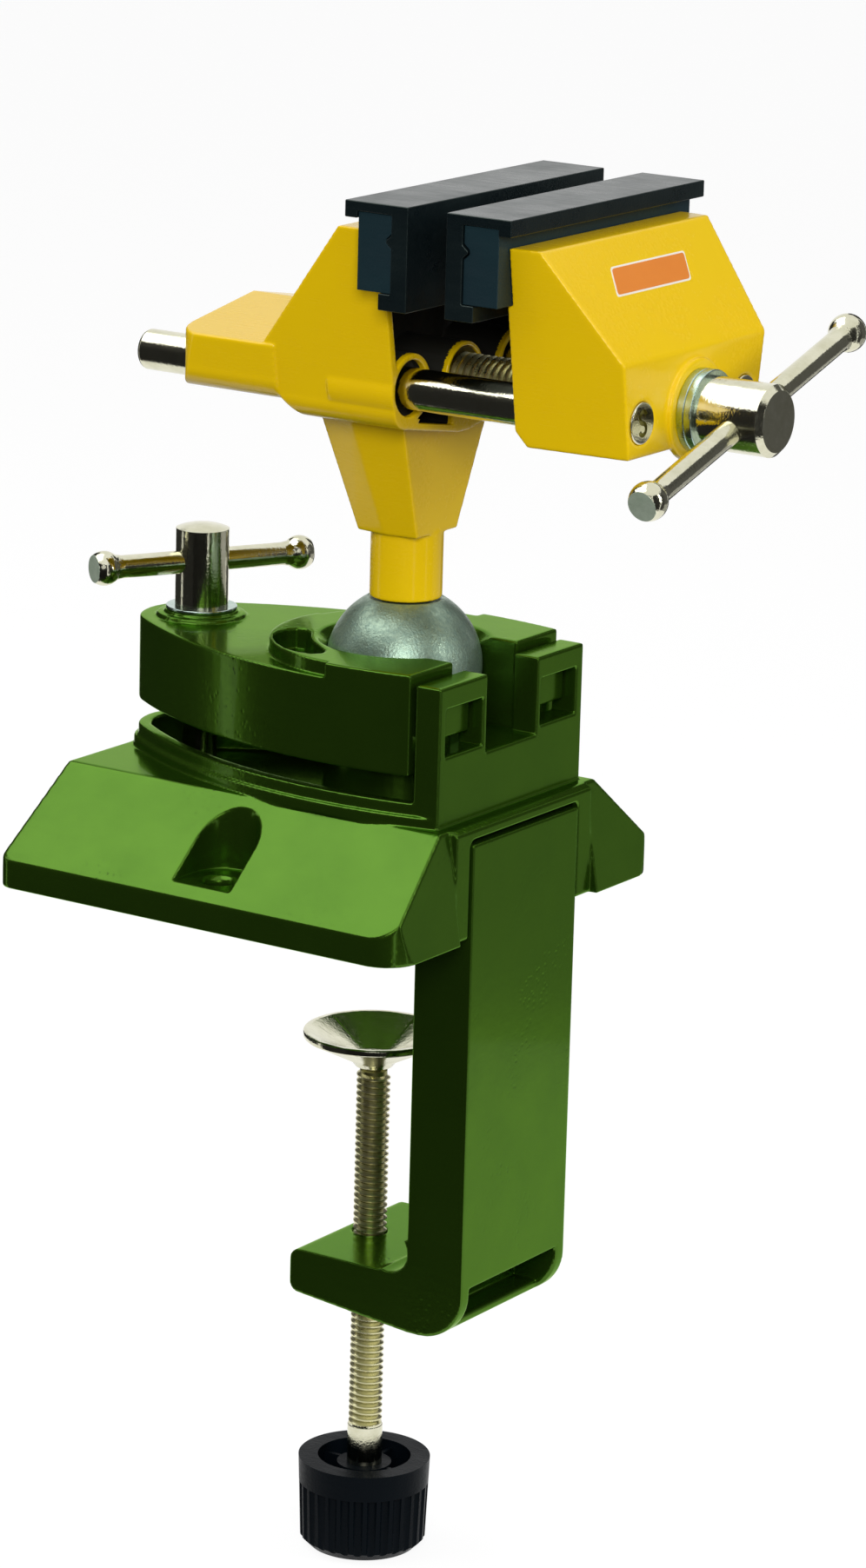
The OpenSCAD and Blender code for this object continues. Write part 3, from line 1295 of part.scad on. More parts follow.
module swivel_pad() color("#c9c9c4") translate([-table_screw_x, 0, 0]) rotate_extrude() polygon([
    [pad_tip_d / 2 + rod_clear, pad_foot_z], [pad_hub_d * 0.4, pad_foot_z], [pad_hub_d / 2,
        pad_hub_z - pad_t],
    [pad_d / 2, pad_rim_z - pad_t], [pad_d / 2, pad_rim_z], [pad_d / 2 - pad_t, pad_rim_z],
    [pad_hub_d / 2 - pad_t / 2, pad_hub_z], [pad_tip_d / 2 + rod_clear, pad_hub_z]
]);

module knob() color("#1e2427") translate([-table_screw_x, 0, 0]) {
    hollow_r = knob_d / 2 - knob_wall;
    difference() {
        union() {
            difference() {
                union() {
                    translate([0, 0, knob_z0 + knob_chamfer])
                        cylinder(r1 = knob_low_r, r2 = knob_d / 2, h = knob_h - knob_chamfer);
                    translate([0, 0, knob_z0])
                        cylinder(r1 = knob_low_r - knob_chamfer, r2 = knob_low_r, h = knob_chamfer);
                }
                translate([0, 0, knob_top_z - knob_hollow_h]) cylinder(r = hollow_r,
                    h = knob_hollow_h + over);
                for (i = [0 : flute_count - 1]) rotate([0, 0, i * full_turn / flute_count])
                    translate([knob_low_r + flute_d / 2 - flute_depth, 0, knob_z0 - over])
                        cylinder(d = flute_d, h = knob_h - knob_band_h + over, $fn = flute_fn);
            }
            translate([0, 0, knob_top_z - knob_hollow_h - joint_lap])
                cylinder(d = knob_hub_d, h = knob_hollow_h - knob_hub_drop + joint_lap);
            for (turn = [0, quarter_turn]) rotate([0, 0, turn]) translate([-hollow_r - joint_lap,
                -knob_spoke_t / 2,
                    knob_top_z - knob_hollow_h - joint_lap])
                cube([2 * (hollow_r + joint_lap), knob_spoke_t,
                    knob_hollow_h - knob_hub_drop + joint_lap / 2]);
        }
        translate([0, 0, knob_z0 + 2 * knob_chamfer - fit_gap]) cylinder(d = knob_stem_d, h = knob_h);
    }
}

base_casting();
clamp_bracket();
bracket_bolt_near();
bracket_bolt_far();
top_plate();
clamp_spindle();
clamp_washer();
clamp_nut();
clamp_bar();
ball_seat();
ball();
ball_screw();
fixed_jaw();
fixed_insert();
fixed_insert_screw_near();
fixed_insert_screw_far();
fixed_cover();
lead_nut();
moving_jaw();
guide_rod_near();
guide_rod_far();
moving_insert();
moving_insert_screw_near();
moving_insert_screw_far();
moving_cover();
lead_screw();
spindle_washer_inner();
spindle_washer_outer();
spindle_clip();
spindle_bar();
table_screw();
swivel_pad();
knob();
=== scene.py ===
"""Looks of a clamp-on vise with a ball joint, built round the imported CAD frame."""

import json
import logging
import math
from dataclasses import dataclass
from enum import Enum
from functools import cache
from typing import Callable, Iterable, Sequence

import bmesh
import bpy
from bpy.types import Material, Modifier, Node, NodeSocket, NodeTree, Object, World
from mathutils import Matrix, Vector


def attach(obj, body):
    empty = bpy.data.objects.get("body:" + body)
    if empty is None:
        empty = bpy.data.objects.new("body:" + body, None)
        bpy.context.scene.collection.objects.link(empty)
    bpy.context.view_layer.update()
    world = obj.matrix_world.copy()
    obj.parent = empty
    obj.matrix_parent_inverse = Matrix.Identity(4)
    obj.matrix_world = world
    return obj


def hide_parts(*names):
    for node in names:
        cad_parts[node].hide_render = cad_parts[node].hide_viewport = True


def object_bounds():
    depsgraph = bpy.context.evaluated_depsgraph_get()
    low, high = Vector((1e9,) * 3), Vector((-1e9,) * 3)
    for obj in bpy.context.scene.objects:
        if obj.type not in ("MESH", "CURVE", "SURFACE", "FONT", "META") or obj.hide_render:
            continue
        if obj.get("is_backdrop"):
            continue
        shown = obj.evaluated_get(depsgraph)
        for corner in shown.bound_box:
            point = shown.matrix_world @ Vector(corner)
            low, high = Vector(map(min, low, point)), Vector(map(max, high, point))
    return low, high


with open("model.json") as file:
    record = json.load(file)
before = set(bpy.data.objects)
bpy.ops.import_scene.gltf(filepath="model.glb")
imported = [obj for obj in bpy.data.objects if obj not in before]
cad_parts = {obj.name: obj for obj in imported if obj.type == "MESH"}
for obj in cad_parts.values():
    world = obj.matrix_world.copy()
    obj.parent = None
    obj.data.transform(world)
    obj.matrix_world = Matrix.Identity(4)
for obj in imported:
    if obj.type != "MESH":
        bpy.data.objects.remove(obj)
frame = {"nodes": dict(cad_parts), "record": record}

LOG = logging.getLogger("vise_looks")
MM = 0.001  # lengths are in mm and angles in degrees, where nothing else is said
MOST_TRIANGLES = 180_000
OCTREE_DEPTH = 9
MOST_REMESH_SCALE = 0.98
WELD = 0.004 * MM
FLAT_ANGLE = 1.0
BEVEL_ANGLE = 32
SHARP_ANGLE = 40
THREAD_SHARP_ANGLE = 30
AXIS_MERGE = 0.0005
END_FACE_DEPTH = 0.08
HAIR = 0.01
Pair = tuple[float, float]
Triple = tuple[float, float, float]
Plan = tuple[Pair, ...]


class Slot(Enum):
    """The record's material slots."""

    GREEN = "painted_green"
    YELLOW = "painted_yellow"
    CHROME = "chrome"
    SCREW = "screw_steel"
    ZINC = "zinc_plated"
    DARK = "dark_steel"
    CAST_ZINC = "cast_zinc"
    BRASS = "brass"
    RUBBER = "cover_rubber"
    PLASTIC = "knob_plastic"


class Cut(Enum):
    """How a CAD copy is given its soft edges."""

    CAST = "one remeshed skin, smoothed all over"
    MACHINED = "bevelled edges"


def linear(colour: Triple) -> tuple[float, float, float, float]:
    """Turns an sRGB colour into a linear one.

    Args:
        colour: red, green and blue, from 0 to 255.

    Returns:
        Linear red, green, blue and alpha, from 0 to 1.
    """
    def channel(v: float) -> float:
        """One channel to linear."""
        s = v / 255
        return s / 12.92 if s <= 0.04045 else ((s + 0.055) / 1.055) ** 2.4

    return (*(channel(v) for v in colour), 1.0)


class Sheet:
    """A short way to fill a node tree."""

    def __init__(self, tree: NodeTree) -> None:
        """Starts on an emptied tree.

        Args:
            tree: the node tree to fill.
        """
        self.tree = tree
        self.column = 0

    def add(self, kind: str, **settings: object) -> Node:
        """Adds a node.

        Args:
            kind: the node's type.
            settings: attributes by name.

        Returns:
            The node.
        """
        node = self.tree.nodes.new(kind)
        self.column += 1
        node.location = (self.column * 180, -(self.column % 5) * 160)
        for key, value in settings.items():
            setattr(node, key, value)
        return node

    @staticmethod
    def preset(node: Node, values: dict[str, object]) -> None:
        """Sets a node's inputs by their names."""
        for label, value in values.items():
            node.inputs[label].default_value = value

    def join(self, source: object, target: NodeSocket) -> None:
        """Links a socket to another, or sets a plain value.

        Args:
            source: an output socket, or a value.
            target: the input socket.
        """
        if isinstance(source, NodeSocket):
            self.tree.links.new(source, target)
        elif source is not None:
            target.default_value = source

    def sum(self, operation: str, a: object, b: object = None) -> NodeSocket:
        """Adds a math node.

        Args:
            operation: the math node's operation.
            a: the first socket or number.
            b: the second, if there is one.

        Returns:
            The result's socket.
        """
        node = self.add("ShaderNodeMath", operation=operation)
        self.join(a, node.inputs[0])
        self.join(b, node.inputs[1])
        return node.outputs[0]

    def blend(self, share: object, a: object, b: object) -> NodeSocket:
        """Mixes two colours.

        Args:
            share: how much of b shows.
            a: the first colour.
            b: the second colour.

        Returns:
            The colour's socket.
        """
        node = self.add("ShaderNodeMix", data_type="RGBA")
        self.join(share, node.inputs["Factor"])
        self.join(a, node.inputs[6])
        self.join(b, node.inputs[7])
        return node.outputs[2]

    def spread(self, value: object, low: float, high: float, to_low: float = 0.0,
               to_high: float = 1.0) -> NodeSocket:
        """Maps a value from one range to another.

        Args:
            value: the socket to map.
            low: the start of its range.
            high: the end of its range.
            to_low: what low becomes.
            to_high: what high becomes.

        Returns:
            The mapped value's socket.
        """
        node = self.add("ShaderNodeMapRange")
        for place, item in enumerate((value, low, high, to_low, to_high)):
            self.join(item, node.inputs[place])
        return node.outputs[0]

    def noise(self, place: NodeSocket, scale: object, detail: float,
              rough: float = 0.5) -> NodeSocket:
        """Adds a noise texture.

        Args:
            place: the coordinates.
            scale: features per metre.
            detail: octaves.
            rough: the octaves' share.

        Returns:
            The noise value's socket.
        """
        node = self.add("ShaderNodeTexNoise")
        self.join(place, node.inputs["Vector"])
        self.join(scale, node.inputs["Scale"])
        self.preset(node, {"Detail": detail, "Roughness": rough})
        return node.outputs[0]


def blank(owner: Material | World) -> Sheet:
    """Gives a material or a world an empty node tree.

    Args:
        owner: the material or the world.

    Returns:
        The sheet on its tree.
    """
    owner.use_nodes = True
    owner.node_tree.nodes.clear()
    return Sheet(owner.node_tree)


def group(name: str, inputs: dict[str, float], outputs: Iterable[str],
          fill: Callable[[Sheet, Node, Node, NodeSocket], None]) -> NodeTree:
    """Builds a shader node group.

    Args:
        name: the group's name.
        inputs: the named inputs with their defaults.
        outputs: the named outputs.
        fill: adds the nodes between the group's two ends.

    Returns:
        The group's tree.
    """
    tree = bpy.data.node_groups.new(name, "ShaderNodeTree")
    for label, value in inputs.items():
        tree.interface.new_socket(label, in_out="INPUT", socket_type="NodeSocketFloat").default_value = value
    for label in outputs:
        tree.interface.new_socket(label, in_out="OUTPUT", socket_type="NodeSocketFloat")
    sheet = Sheet(tree)
    start, end = sheet.add("NodeGroupInput"), sheet.add("NodeGroupOutput")
    fill(sheet, start, end, sheet.add("ShaderNodeTexCoord").outputs["Object"])
    return tree


@cache
def cast_skin() -> NodeTree:
    """The skin of paint over a casting: a slow orange peel and rare pits.

    Returns:
        The group's tree.
    """
    def fill(s: Sheet, start: Node, end: Node, place: NodeSocket) -> None:
        """Adds the peel and the pits.

        Args:
            s: the group's sheet.
            start: its inputs.
            end: its outputs.
            place: the object's coordinates.
        """
        peel = s.noise(place, start.outputs["Peel Scale"], 2.0)
        wave = s.noise(place, s.sum("MULTIPLY", start.outputs["Peel Scale"], 0.22), 1.0)
        patch = s.spread(s.noise(place, 55.0, 2.0), 0.5, 0.68)
        cells = s.add("ShaderNodeTexVoronoi", feature="F1")
        s.join(place, cells.inputs["Vector"])
        s.join(start.outputs["Pit Scale"], cells.inputs["Scale"])
        pit = s.sum("MULTIPLY", s.spread(cells.outputs["Distance"], 0.34, 0.12), patch)
        pit = s.sum("MULTIPLY", pit, start.outputs["Pit Amount"])
        height = s.sum("ADD", s.sum("MULTIPLY", peel, 0.35), s.sum("MULTIPLY", wave, 0.65))
        s.join(s.sum("SUBTRACT", height, pit), end.inputs["Height"])
        s.join(pit, end.inputs["Pits"])

    return group("Cast skin", {"Peel Scale": 420.0, "Pit Scale": 620.0, "Pit Amount": 1.0}, ("Height", "Pits"), fill)


@cache
def handling_marks() -> NodeTree:
    """Smudges and fine rubbed streaks that any handled surface has.

    Returns:
        The group's tree.
    """
    def fill(s: Sheet, start: Node, end: Node, place: NodeSocket) -> None:
        """Adds the smudges and the streaks.

        Args:
            s: the group's sheet.
            start: its inputs.
            end: its outputs.
            place: the object's coordinates.
        """
        smudge = s.spread(s.noise(place, start.outputs["Smudge Scale"], 3.0, 0.6), 0.35, 0.7)
        turn = s.add("ShaderNodeMapping")
        s.join(place, turn.inputs["Vector"])
        s.preset(turn, {"Scale": (0.12, 1.0, 1.0), "Rotation": (0.3, 0.2, 0.5)})
        streak = s.spread(s.noise(turn.outputs[0], start.outputs["Streak Scale"], 3.0, 0.7), 0.42, 0.66)
        s.join(smudge, end.inputs["Smudge"])
        s.join(streak, end.inputs["Streak"])
        s.join(s.noise(place, s.sum("MULTIPLY", start.outputs["Streak Scale"], 2.2), 2.0), end.inputs["Grit"])

    return group("Handling marks", {"Smudge Scale": 60.0, "Streak Scale": 900.0}, ("Smudge", "Streak", "Grit"), fill)


@dataclass(frozen=True)
class Finish:
    """A finish, as the numbers of its surface.

    The shade is the second colour of its slow variation.
    """

    name: str
    colour: Triple
    shade: Triple
    roughness: float
    metallic: float = 0.0
    coat: float = 0.0
    coat_roughness: float = 0.05
    specular: float = 0.5
    tint: Triple = (1.0, 1.0, 1.0)
    skin: float = 0.0
    pits: float = 0.0
    smudge_scale: float = 60.0
    rough_swing: float = 0.08
    shade_share: float = 0.6
    grit: float = 0.0

    @cache
    def material(self) -> Material:
        """Builds the material, the first time that it is asked for.

        Returns:
            The material.
        """
        material = bpy.data.materials.new(self.name)
        s = blank(material)
        out, shader = s.add("ShaderNodeOutputMaterial"), s.add("ShaderNodeBsdfPrincipled")
        s.join(shader.outputs[0], out.inputs["Surface"])
        s.preset(shader, {"Metallic": self.metallic, "Coat Weight": self.coat, "Coat Roughness": self.coat_roughness,
                          "Specular IOR Level": self.specular, "Specular Tint": (*self.tint, 1.0)})
        marks = s.add("ShaderNodeGroup", node_tree=handling_marks())
        marks.inputs["Smudge Scale"].default_value = self.smudge_scale
        smudge, streak = marks.outputs["Smudge"], marks.outputs["Streak"]
        colour = s.blend(s.sum("MULTIPLY", smudge, self.shade_share), linear(self.colour), linear(self.shade))
        height = s.sum("MULTIPLY", marks.outputs["Grit"], self.grit)
        if self.skin:
            cast = s.add("ShaderNodeGroup", node_tree=cast_skin())
            cast.inputs["Pit Amount"].default_value = self.pits
            colour = s.blend(s.sum("MULTIPLY", cast.outputs["Pits"], 0.5), colour, linear(self.shade))
            height = s.sum("ADD", height, s.sum("MULTIPLY", cast.outputs["Height"], self.skin))
        s.join(colour, shader.inputs["Base Color"])
        wear = s.sum("ADD", s.sum("MULTIPLY", smudge, 0.6), s.sum("MULTIPLY", streak, 0.4))
        s.join(s.spread(wear, 0.0, 1.0, self.roughness - self.rough_swing / 2, self.roughness + self.rough_swing),
               shader.inputs["Roughness"])
        bump = s.add("ShaderNodeBump")
        s.preset(bump, {"Strength": 1.0, "Distance": 0.1 * MM})
        s.join(height, bump.inputs["Height"])
        s.join(bump.outputs[0], shader.inputs["Normal"])
        return material


GREEN_ENAMEL = Finish("green enamel", (69, 106, 28), (61, 97, 24), 0.2, metallic=0.85, coat=0.12,
                      coat_roughness=0.06, tint=(0.6, 0.9, 0.3), skin=0.4, pits=0.8, rough_swing=0.04)
YELLOW_ENAMEL = Finish("yellow enamel", (238, 198, 2), (232, 190, 2), 0.26, coat=0.2, specular=0.3, skin=0.25,
                       pits=0.3, rough_swing=0.05, shade_share=0.4)
# Painted shade: a near-black finish on the fixed jaw's hollow and pockets, for the deep shade inside them.
HOLLOW_SHADE = Finish("hollow painted shade", (34, 33, 26), (20, 21, 20), 0.6, metallic=0.2, skin=0.8, pits=1.0,
                     rough_swing=0.14)
CHROME = Finish("bright chrome", (222, 220, 196), (196, 194, 164), 0.11, metallic=1.0, rough_swing=0.05,
                smudge_scale=260.0, grit=0.3)
SCREW_STEEL = Finish("bright screw steel", (226, 222, 180), (206, 200, 150), 0.3, metallic=1.0, rough_swing=0.1)
# Painted shade: darker steel on the threads' cores and in the near rod's slot, for the shade between ridges and in
# the slot.
SCREW_ROOT_SHADE = Finish("screw root painted shade", (150, 146, 92), (120, 116, 66), 0.4, metallic=1.0, rough_swing=0.12)
ZINC = Finish("zinc plate", (190, 206, 200), (150, 184, 164), 0.22, metallic=1.0, rough_swing=0.12,
              smudge_scale=220.0, grit=0.25)
BALL_STEEL = Finish("tumbled ball steel", (150, 172, 152), (118, 142, 130), 0.34, metallic=0.8, rough_swing=0.14,
                    smudge_scale=900.0, shade_share=0.8, grit=0.8)
INSERT_STEEL = Finish("blued insert steel", (28, 50, 56), (22, 40, 48), 0.4, metallic=0.2, specular=0.25,
                      rough_swing=0.12, grit=0.35)
SCREW_BLACK = Finish("black screw steel", (70, 72, 70), (48, 50, 50), 0.34, metallic=0.9, rough_swing=0.12)
COVER_RUBBER = Finish("cover rubber", (11, 19, 22), (16, 26, 28), 0.3, rough_swing=0.1, grit=0.4, specular=0.45,
                      tint=(0.8, 1.0, 0.86))
KNOB_PLASTIC = Finish("knob plastic", (6, 12, 17), (5, 9, 14), 0.38, rough_swing=0.12, grit=0.6, specular=0.05)
BAR_END = Finish("matt bar end", (186, 200, 180), (150, 168, 144), 0.5, metallic=0.5, rough_swing=0.14,
                 smudge_scale=400.0, grit=0.8)
BRASS = Finish("dull brass", (120, 108, 52), (92, 80, 34), 0.35, metallic=1.0, rough_swing=0.1)
LABEL = Finish("plain orange label", (226, 132, 38), (218, 122, 32), 0.35, rough_swing=0.04)
LABEL_EDGE = Finish("label edge", (240, 236, 226), (232, 226, 214), 0.4, rough_swing=0.04)


def new_object(name: str, vertices: Sequence[Sequence[float]], faces: Sequence[Sequence[int]]) -> Object:
    """Makes a mesh object at the origin.

    Args:
        name: the object's name.
        vertices: the points, in metres.
        faces: the faces' corners.

    Returns:
        The object.
    """
    mesh = bpy.data.meshes.new(name)
    mesh.from_pydata(vertices, [], faces)
    mesh.validate()
    made = bpy.data.objects.new(name, mesh)
    bpy.context.scene.collection.objects.link(made)
    return made


def modify(made: Object, kind: str, **settings: object) -> Modifier:
    """Adds a modifier.

    Args:
        made: the object.
        kind: the modifier's type.
        settings: its attributes by name.

    Returns:
        The modifier.
    """
    modifier = made.modifiers.new(kind.lower(), kind)
    for key, value in settings.items():
        setattr(modifier, key, value)
    return modifier


def settle(made: Object) -> None:
    """Turns an object's modifiers into its plain mesh.

    Args:
        made: the object.
    """
    graph = bpy.context.evaluated_depsgraph_get()
    graph.update()
    mesh = bpy.data.meshes.new_from_object(made.evaluated_get(graph))
    made.modifiers.clear()
    old, made.data = made.data, mesh
    bpy.data.meshes.remove(old)
    mesh.name = made.name


def outward(made: Object, merge: float = 0.0) -> None:
    """Turns a closed mesh's faces outward.

    Args:
        made: the object.
        merge: how near two points are made one, in mm, or 0 for not at all.
    """
    work = bmesh.new()
    work.from_mesh(made.data)
    if merge:
        bmesh.ops.remove_doubles(work, verts=work.verts, dist=merge * MM)
    bmesh.ops.recalc_face_normals(work, faces=work.faces)
    work.to_mesh(made.data)
    work.free()


def prism(name: str, rings: Sequence[Sequence[Vector]]) -> Object:
    """A closed solid over two rings of points.

    Args:
        name: its name.
        rings: the lower and the upper ring, in mm, with as many points each.

    Returns:
        The object.
    """
    low, high = rings
    count = len(low)
    faces: list[tuple[int, ...]] = [(k, (k + 1) % count, (k + 1) % count + count, k + count) for k in range(count)]
    faces += [tuple(reversed(range(count))), tuple(range(count, 2 * count))]
    made = new_object(name, [point * MM for point in (*low, *high)], faces)
    outward(made)
    return made


def smooth(made: Object, angle: float) -> None:
    """Shades a mesh smooth, with sharp edges past an angle.

    Args:
        made: the object.
        angle: the sharpest smooth angle, in degrees.
    """
    made.data.shade_smooth()
    made.data.set_sharp_from_angle(angle=math.radians(angle))


def even(made: Object) -> None:
    """Lets large faces lead the shading, so that flat faces stay flat.

    Args:
        made: the object, shaded smooth.
    """
    modify(made, "WEIGHTED_NORMAL", mode="FACE_AREA_WITH_ANGLE", weight=50, keep_sharp=True)
    settle(made)


def circle(x: float, y: float, radius: float, sides: int = 64) -> Plan:
    """The points of a circle in plan, in mm."""
    angles = (2 * math.pi * k / sides for k in range(sides))
    return tuple((x + radius * math.cos(angle), y + radius * math.sin(angle)) for angle in angles)


@dataclass(frozen=True)
class Carve:
    """A prism that is cut from a copy or added to it: a plan between two heights, in mm, upright or along X."""

    plan: Plan
    low: float
    high: float
    adds: bool = False
    along_x: bool = False

    def apply(self, made: Object) -> None:
        """Cuts or adds the prism.

        Args:
            made: the copy.
        """
        tool = prism("carve", [[Vector((at, a, b) if self.along_x else (a, b, at)) for a, b in self.plan]
                               for at in (self.low, self.high)])
        modify(made, "BOOLEAN", operation="UNION" if self.adds else "DIFFERENCE", solver="EXACT", object=tool)
        settle(made)
        bpy.data.objects.remove(tool)


@dataclass
class Dressed:
    """A CAD node's copy with soft edges and its finish.

    The voxel and the rounds of smoothing are for a casting, the bevel for a machined piece. A screw is cut off
    where its thread starts. Some faces take a second finish: painted shade in the fixed jaw's hollow and the near
    rod's slot, the bar ends' own matt finish on the handles. moves shifts the copy's points.
    """

    node: str
    finish: Finish
    slot: Slot
    cut: Cut = Cut.MACHINED
    voxel: float = 0.3
    rounds: int = 20
    bevel: float = 0.35
    segments: int = 3
    flat: bool = True
    keep_from_x: float | None = None
    keep_below_z: float | None = None
    lining_and_shade: tuple[Finish, Callable[[Vector], bool]] | None = None
    carvings: tuple[Carve, ...] = ()
    moves: Callable[[Vector], Vector] | None = None

    def build(self) -> None:
        """Makes the piece, and lets it stand for its node."""
        source = frame["nodes"][self.node].data
        move = self.moves or (lambda point: point)
        made = new_object("dressed_" + self.node, [move(v.co / MM) * MM for v in source.vertices],
                          [p.vertices[:] for p in source.polygons])
        self.weld(made)
        if self.cut is Cut.CAST:
            self.carve(made)
            self.skin(made)
        else:
            self.soften(made)
        finish_piece(made, self.finish, body_of(self.node))
        if self.lining_and_shade:
            self.line(made, *self.lining_and_shade)
        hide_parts(self.node)

    def carve(self, made: Object) -> None:
        """Cuts and adds the piece's prisms."""
        for carving in self.carvings:
            carving.apply(made)

    @staticmethod
    def line(made: Object, finish: Finish, holds: Callable[[Vector], bool]) -> None:
        """Gives some faces a second finish: painted shade in the jaw's hollow and the rod's slot, a bar end's own
        finish.

        Args:
            made: the piece.
            finish: the second finish.
            holds: whether a point, in mm, takes the second finish.
        """
        made.data.materials.append(finish.material())
        for face in made.data.polygons:
            if holds(face.center / MM):
                face.material_index = 1

    def weld(self, made: Object) -> None:
        """Merges the loose triangles, and joins the flat ones.

        Args:
            made: the copy.
        """
        work = bmesh.new()
        work.from_mesh(made.data)
        bmesh.ops.remove_doubles(work, verts=work.verts, dist=WELD)
        bmesh.ops.dissolve_degenerate(work, edges=work.edges, dist=WELD)
        if self.cut is Cut.MACHINED:
            bmesh.ops.dissolve_limit(work, angle_limit=math.radians(FLAT_ANGLE), verts=work.verts, edges=work.edges)
        if self.keep_from_x is not None:
            self.trim(work, Vector((self.keep_from_x * MM, 0, 0)), Vector((1, 0, 0)))
        if self.keep_below_z is not None:
            self.trim(work, Vector((0, 0, self.keep_below_z * MM)), Vector((0, 0, -1)))
        work.to_mesh(made.data)
        work.free()

    @staticmethod
    def trim(work: bmesh.types.BMesh, point: Vector, normal: Vector) -> None:
        """Cuts away what lies behind a plane, and closes the cut.

        Args:
            work: the mesh.
            point: a point of the plane.
            normal: towards the side that stays.
        """
        found = bmesh.ops.bisect_plane(work, geom=work.verts[:] + work.edges[:] + work.faces[:], plane_co=point,
                                       plane_no=normal, clear_inner=True)
        rim = [e for e in found["geom_cut"] if isinstance(e, bmesh.types.BMEdge)]
        bmesh.ops.contextual_create(work, geom=rim)

    def skin(self, made: Object) -> None:
        """Gives a casting one even skin with rounded edges.

        Args:
            made: the copy.
        """
        depth = OCTREE_DEPTH
        scale = min(MOST_REMESH_SCALE, max(made.dimensions) / (self.voxel * MM * 2 ** depth))
        modify(made, "REMESH", mode="SHARP", octree_depth=depth, scale=scale, sharpness=1.0,
               use_remove_disconnected=False)
        modify(made, "SMOOTH", factor=0.5, iterations=self.rounds)
        settle(made)
        triangles = sum(len(face.vertices) - 2 for face in made.data.polygons)
        if triangles > MOST_TRIANGLES:
            modify(made, "DECIMATE", ratio=MOST_TRIANGLES / triangles)
            settle(made)
        made.data.shade_smooth()
        even(made)

    def soften(self, made: Object) -> None:
        """Bevels a machined piece's sharp edges.

        Args:
            made: the copy.
        """
        modify(made, "BEVEL", width=self.bevel * MM, segments=self.segments, limit_method="ANGLE",
               angle_limit=math.radians(BEVEL_ANGLE), use_clamp_overlap=True, miter_outer="MITER_ARC")
        settle(made)
        self.carve(made)
        smooth(made, SHARP_ANGLE)
        if self.flat:
            even(made)


def bar_end(middle: Vector, along: Vector, reach: float) -> Callable[[Vector], bool]:
    """A test for the faces at a handle bar's two ends.

    Args:
        middle: the bar's middle, in mm.
        along: its direction, as a unit vector.
        reach: how far its end faces are from the middle, in mm.

    Returns:
        Whether a point, in mm, is on an end face.
    """
    return lambda point: abs((point - middle).dot(along)) > reach - END_FACE_DEPTH


def body_of(node: str) -> str:
    """The name of the body that holds a node.

    Args:
        node: the CAD node.

    Returns:
        The body's name.
    """
    for body, members in frame["record"]["behaviour"]["bodies"].items():
        if node in members:
            return body
    raise KeyError(node)


def finish_piece(made: Object, finish: Finish, body: str) -> None:
    """Gives a piece its finish, and lets it ride.

    Args:
        made: the piece.
        finish: its finish.
        body: the body it rides on.
    """
    made.data.materials.clear()
    made.data.materials.append(finish.material())
    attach(made, body)
    LOG.info("%s rides on %s with %s faces", made.name, body, len(made.data.polygons))


def turned(name: str, outline: Sequence[Pair], origin: Vector, axis: Vector,
           sides: int = 48) -> Object:
    """A turned piece from its outline.

    Args:
        name: the piece's name.
        outline: pairs of place along the axis and radius, in mm, from one end to the other.
        origin: the start of the axis, in mm.
        axis: the axis's direction.
        sides: how many sides the turning has.

    Returns:
        The object.
    """
    forward = axis.normalized()
    across = forward.orthogonal().normalized()
    third = forward.cross(across)
    points: list[Vector] = []
    faces: list[tuple[int, ...]] = []
    for along, radius in outline:
        for step in range(sides):
            angle = 2 * math.pi * step / sides
            spoke = across * math.cos(angle) + third * math.sin(angle)
            points.append((origin + forward * along + spoke * radius) * MM)
    for row in range(len(outline) - 1):
        for step in range(sides):
            after = (step + 1) % sides
            low, high = row * sides, (row + 1) * sides
            faces.append((low + step, low + after, high + after, high + step))
    faces.append(tuple(reversed(range(sides))))
    faces.append(tuple(range((len(outline) - 1) * sides, len(outline) * sides)))
    made = new_object(name, points, faces)
    outward(made, AXIS_MERGE)
    smooth(made, SHARP_ANGLE)
    return made


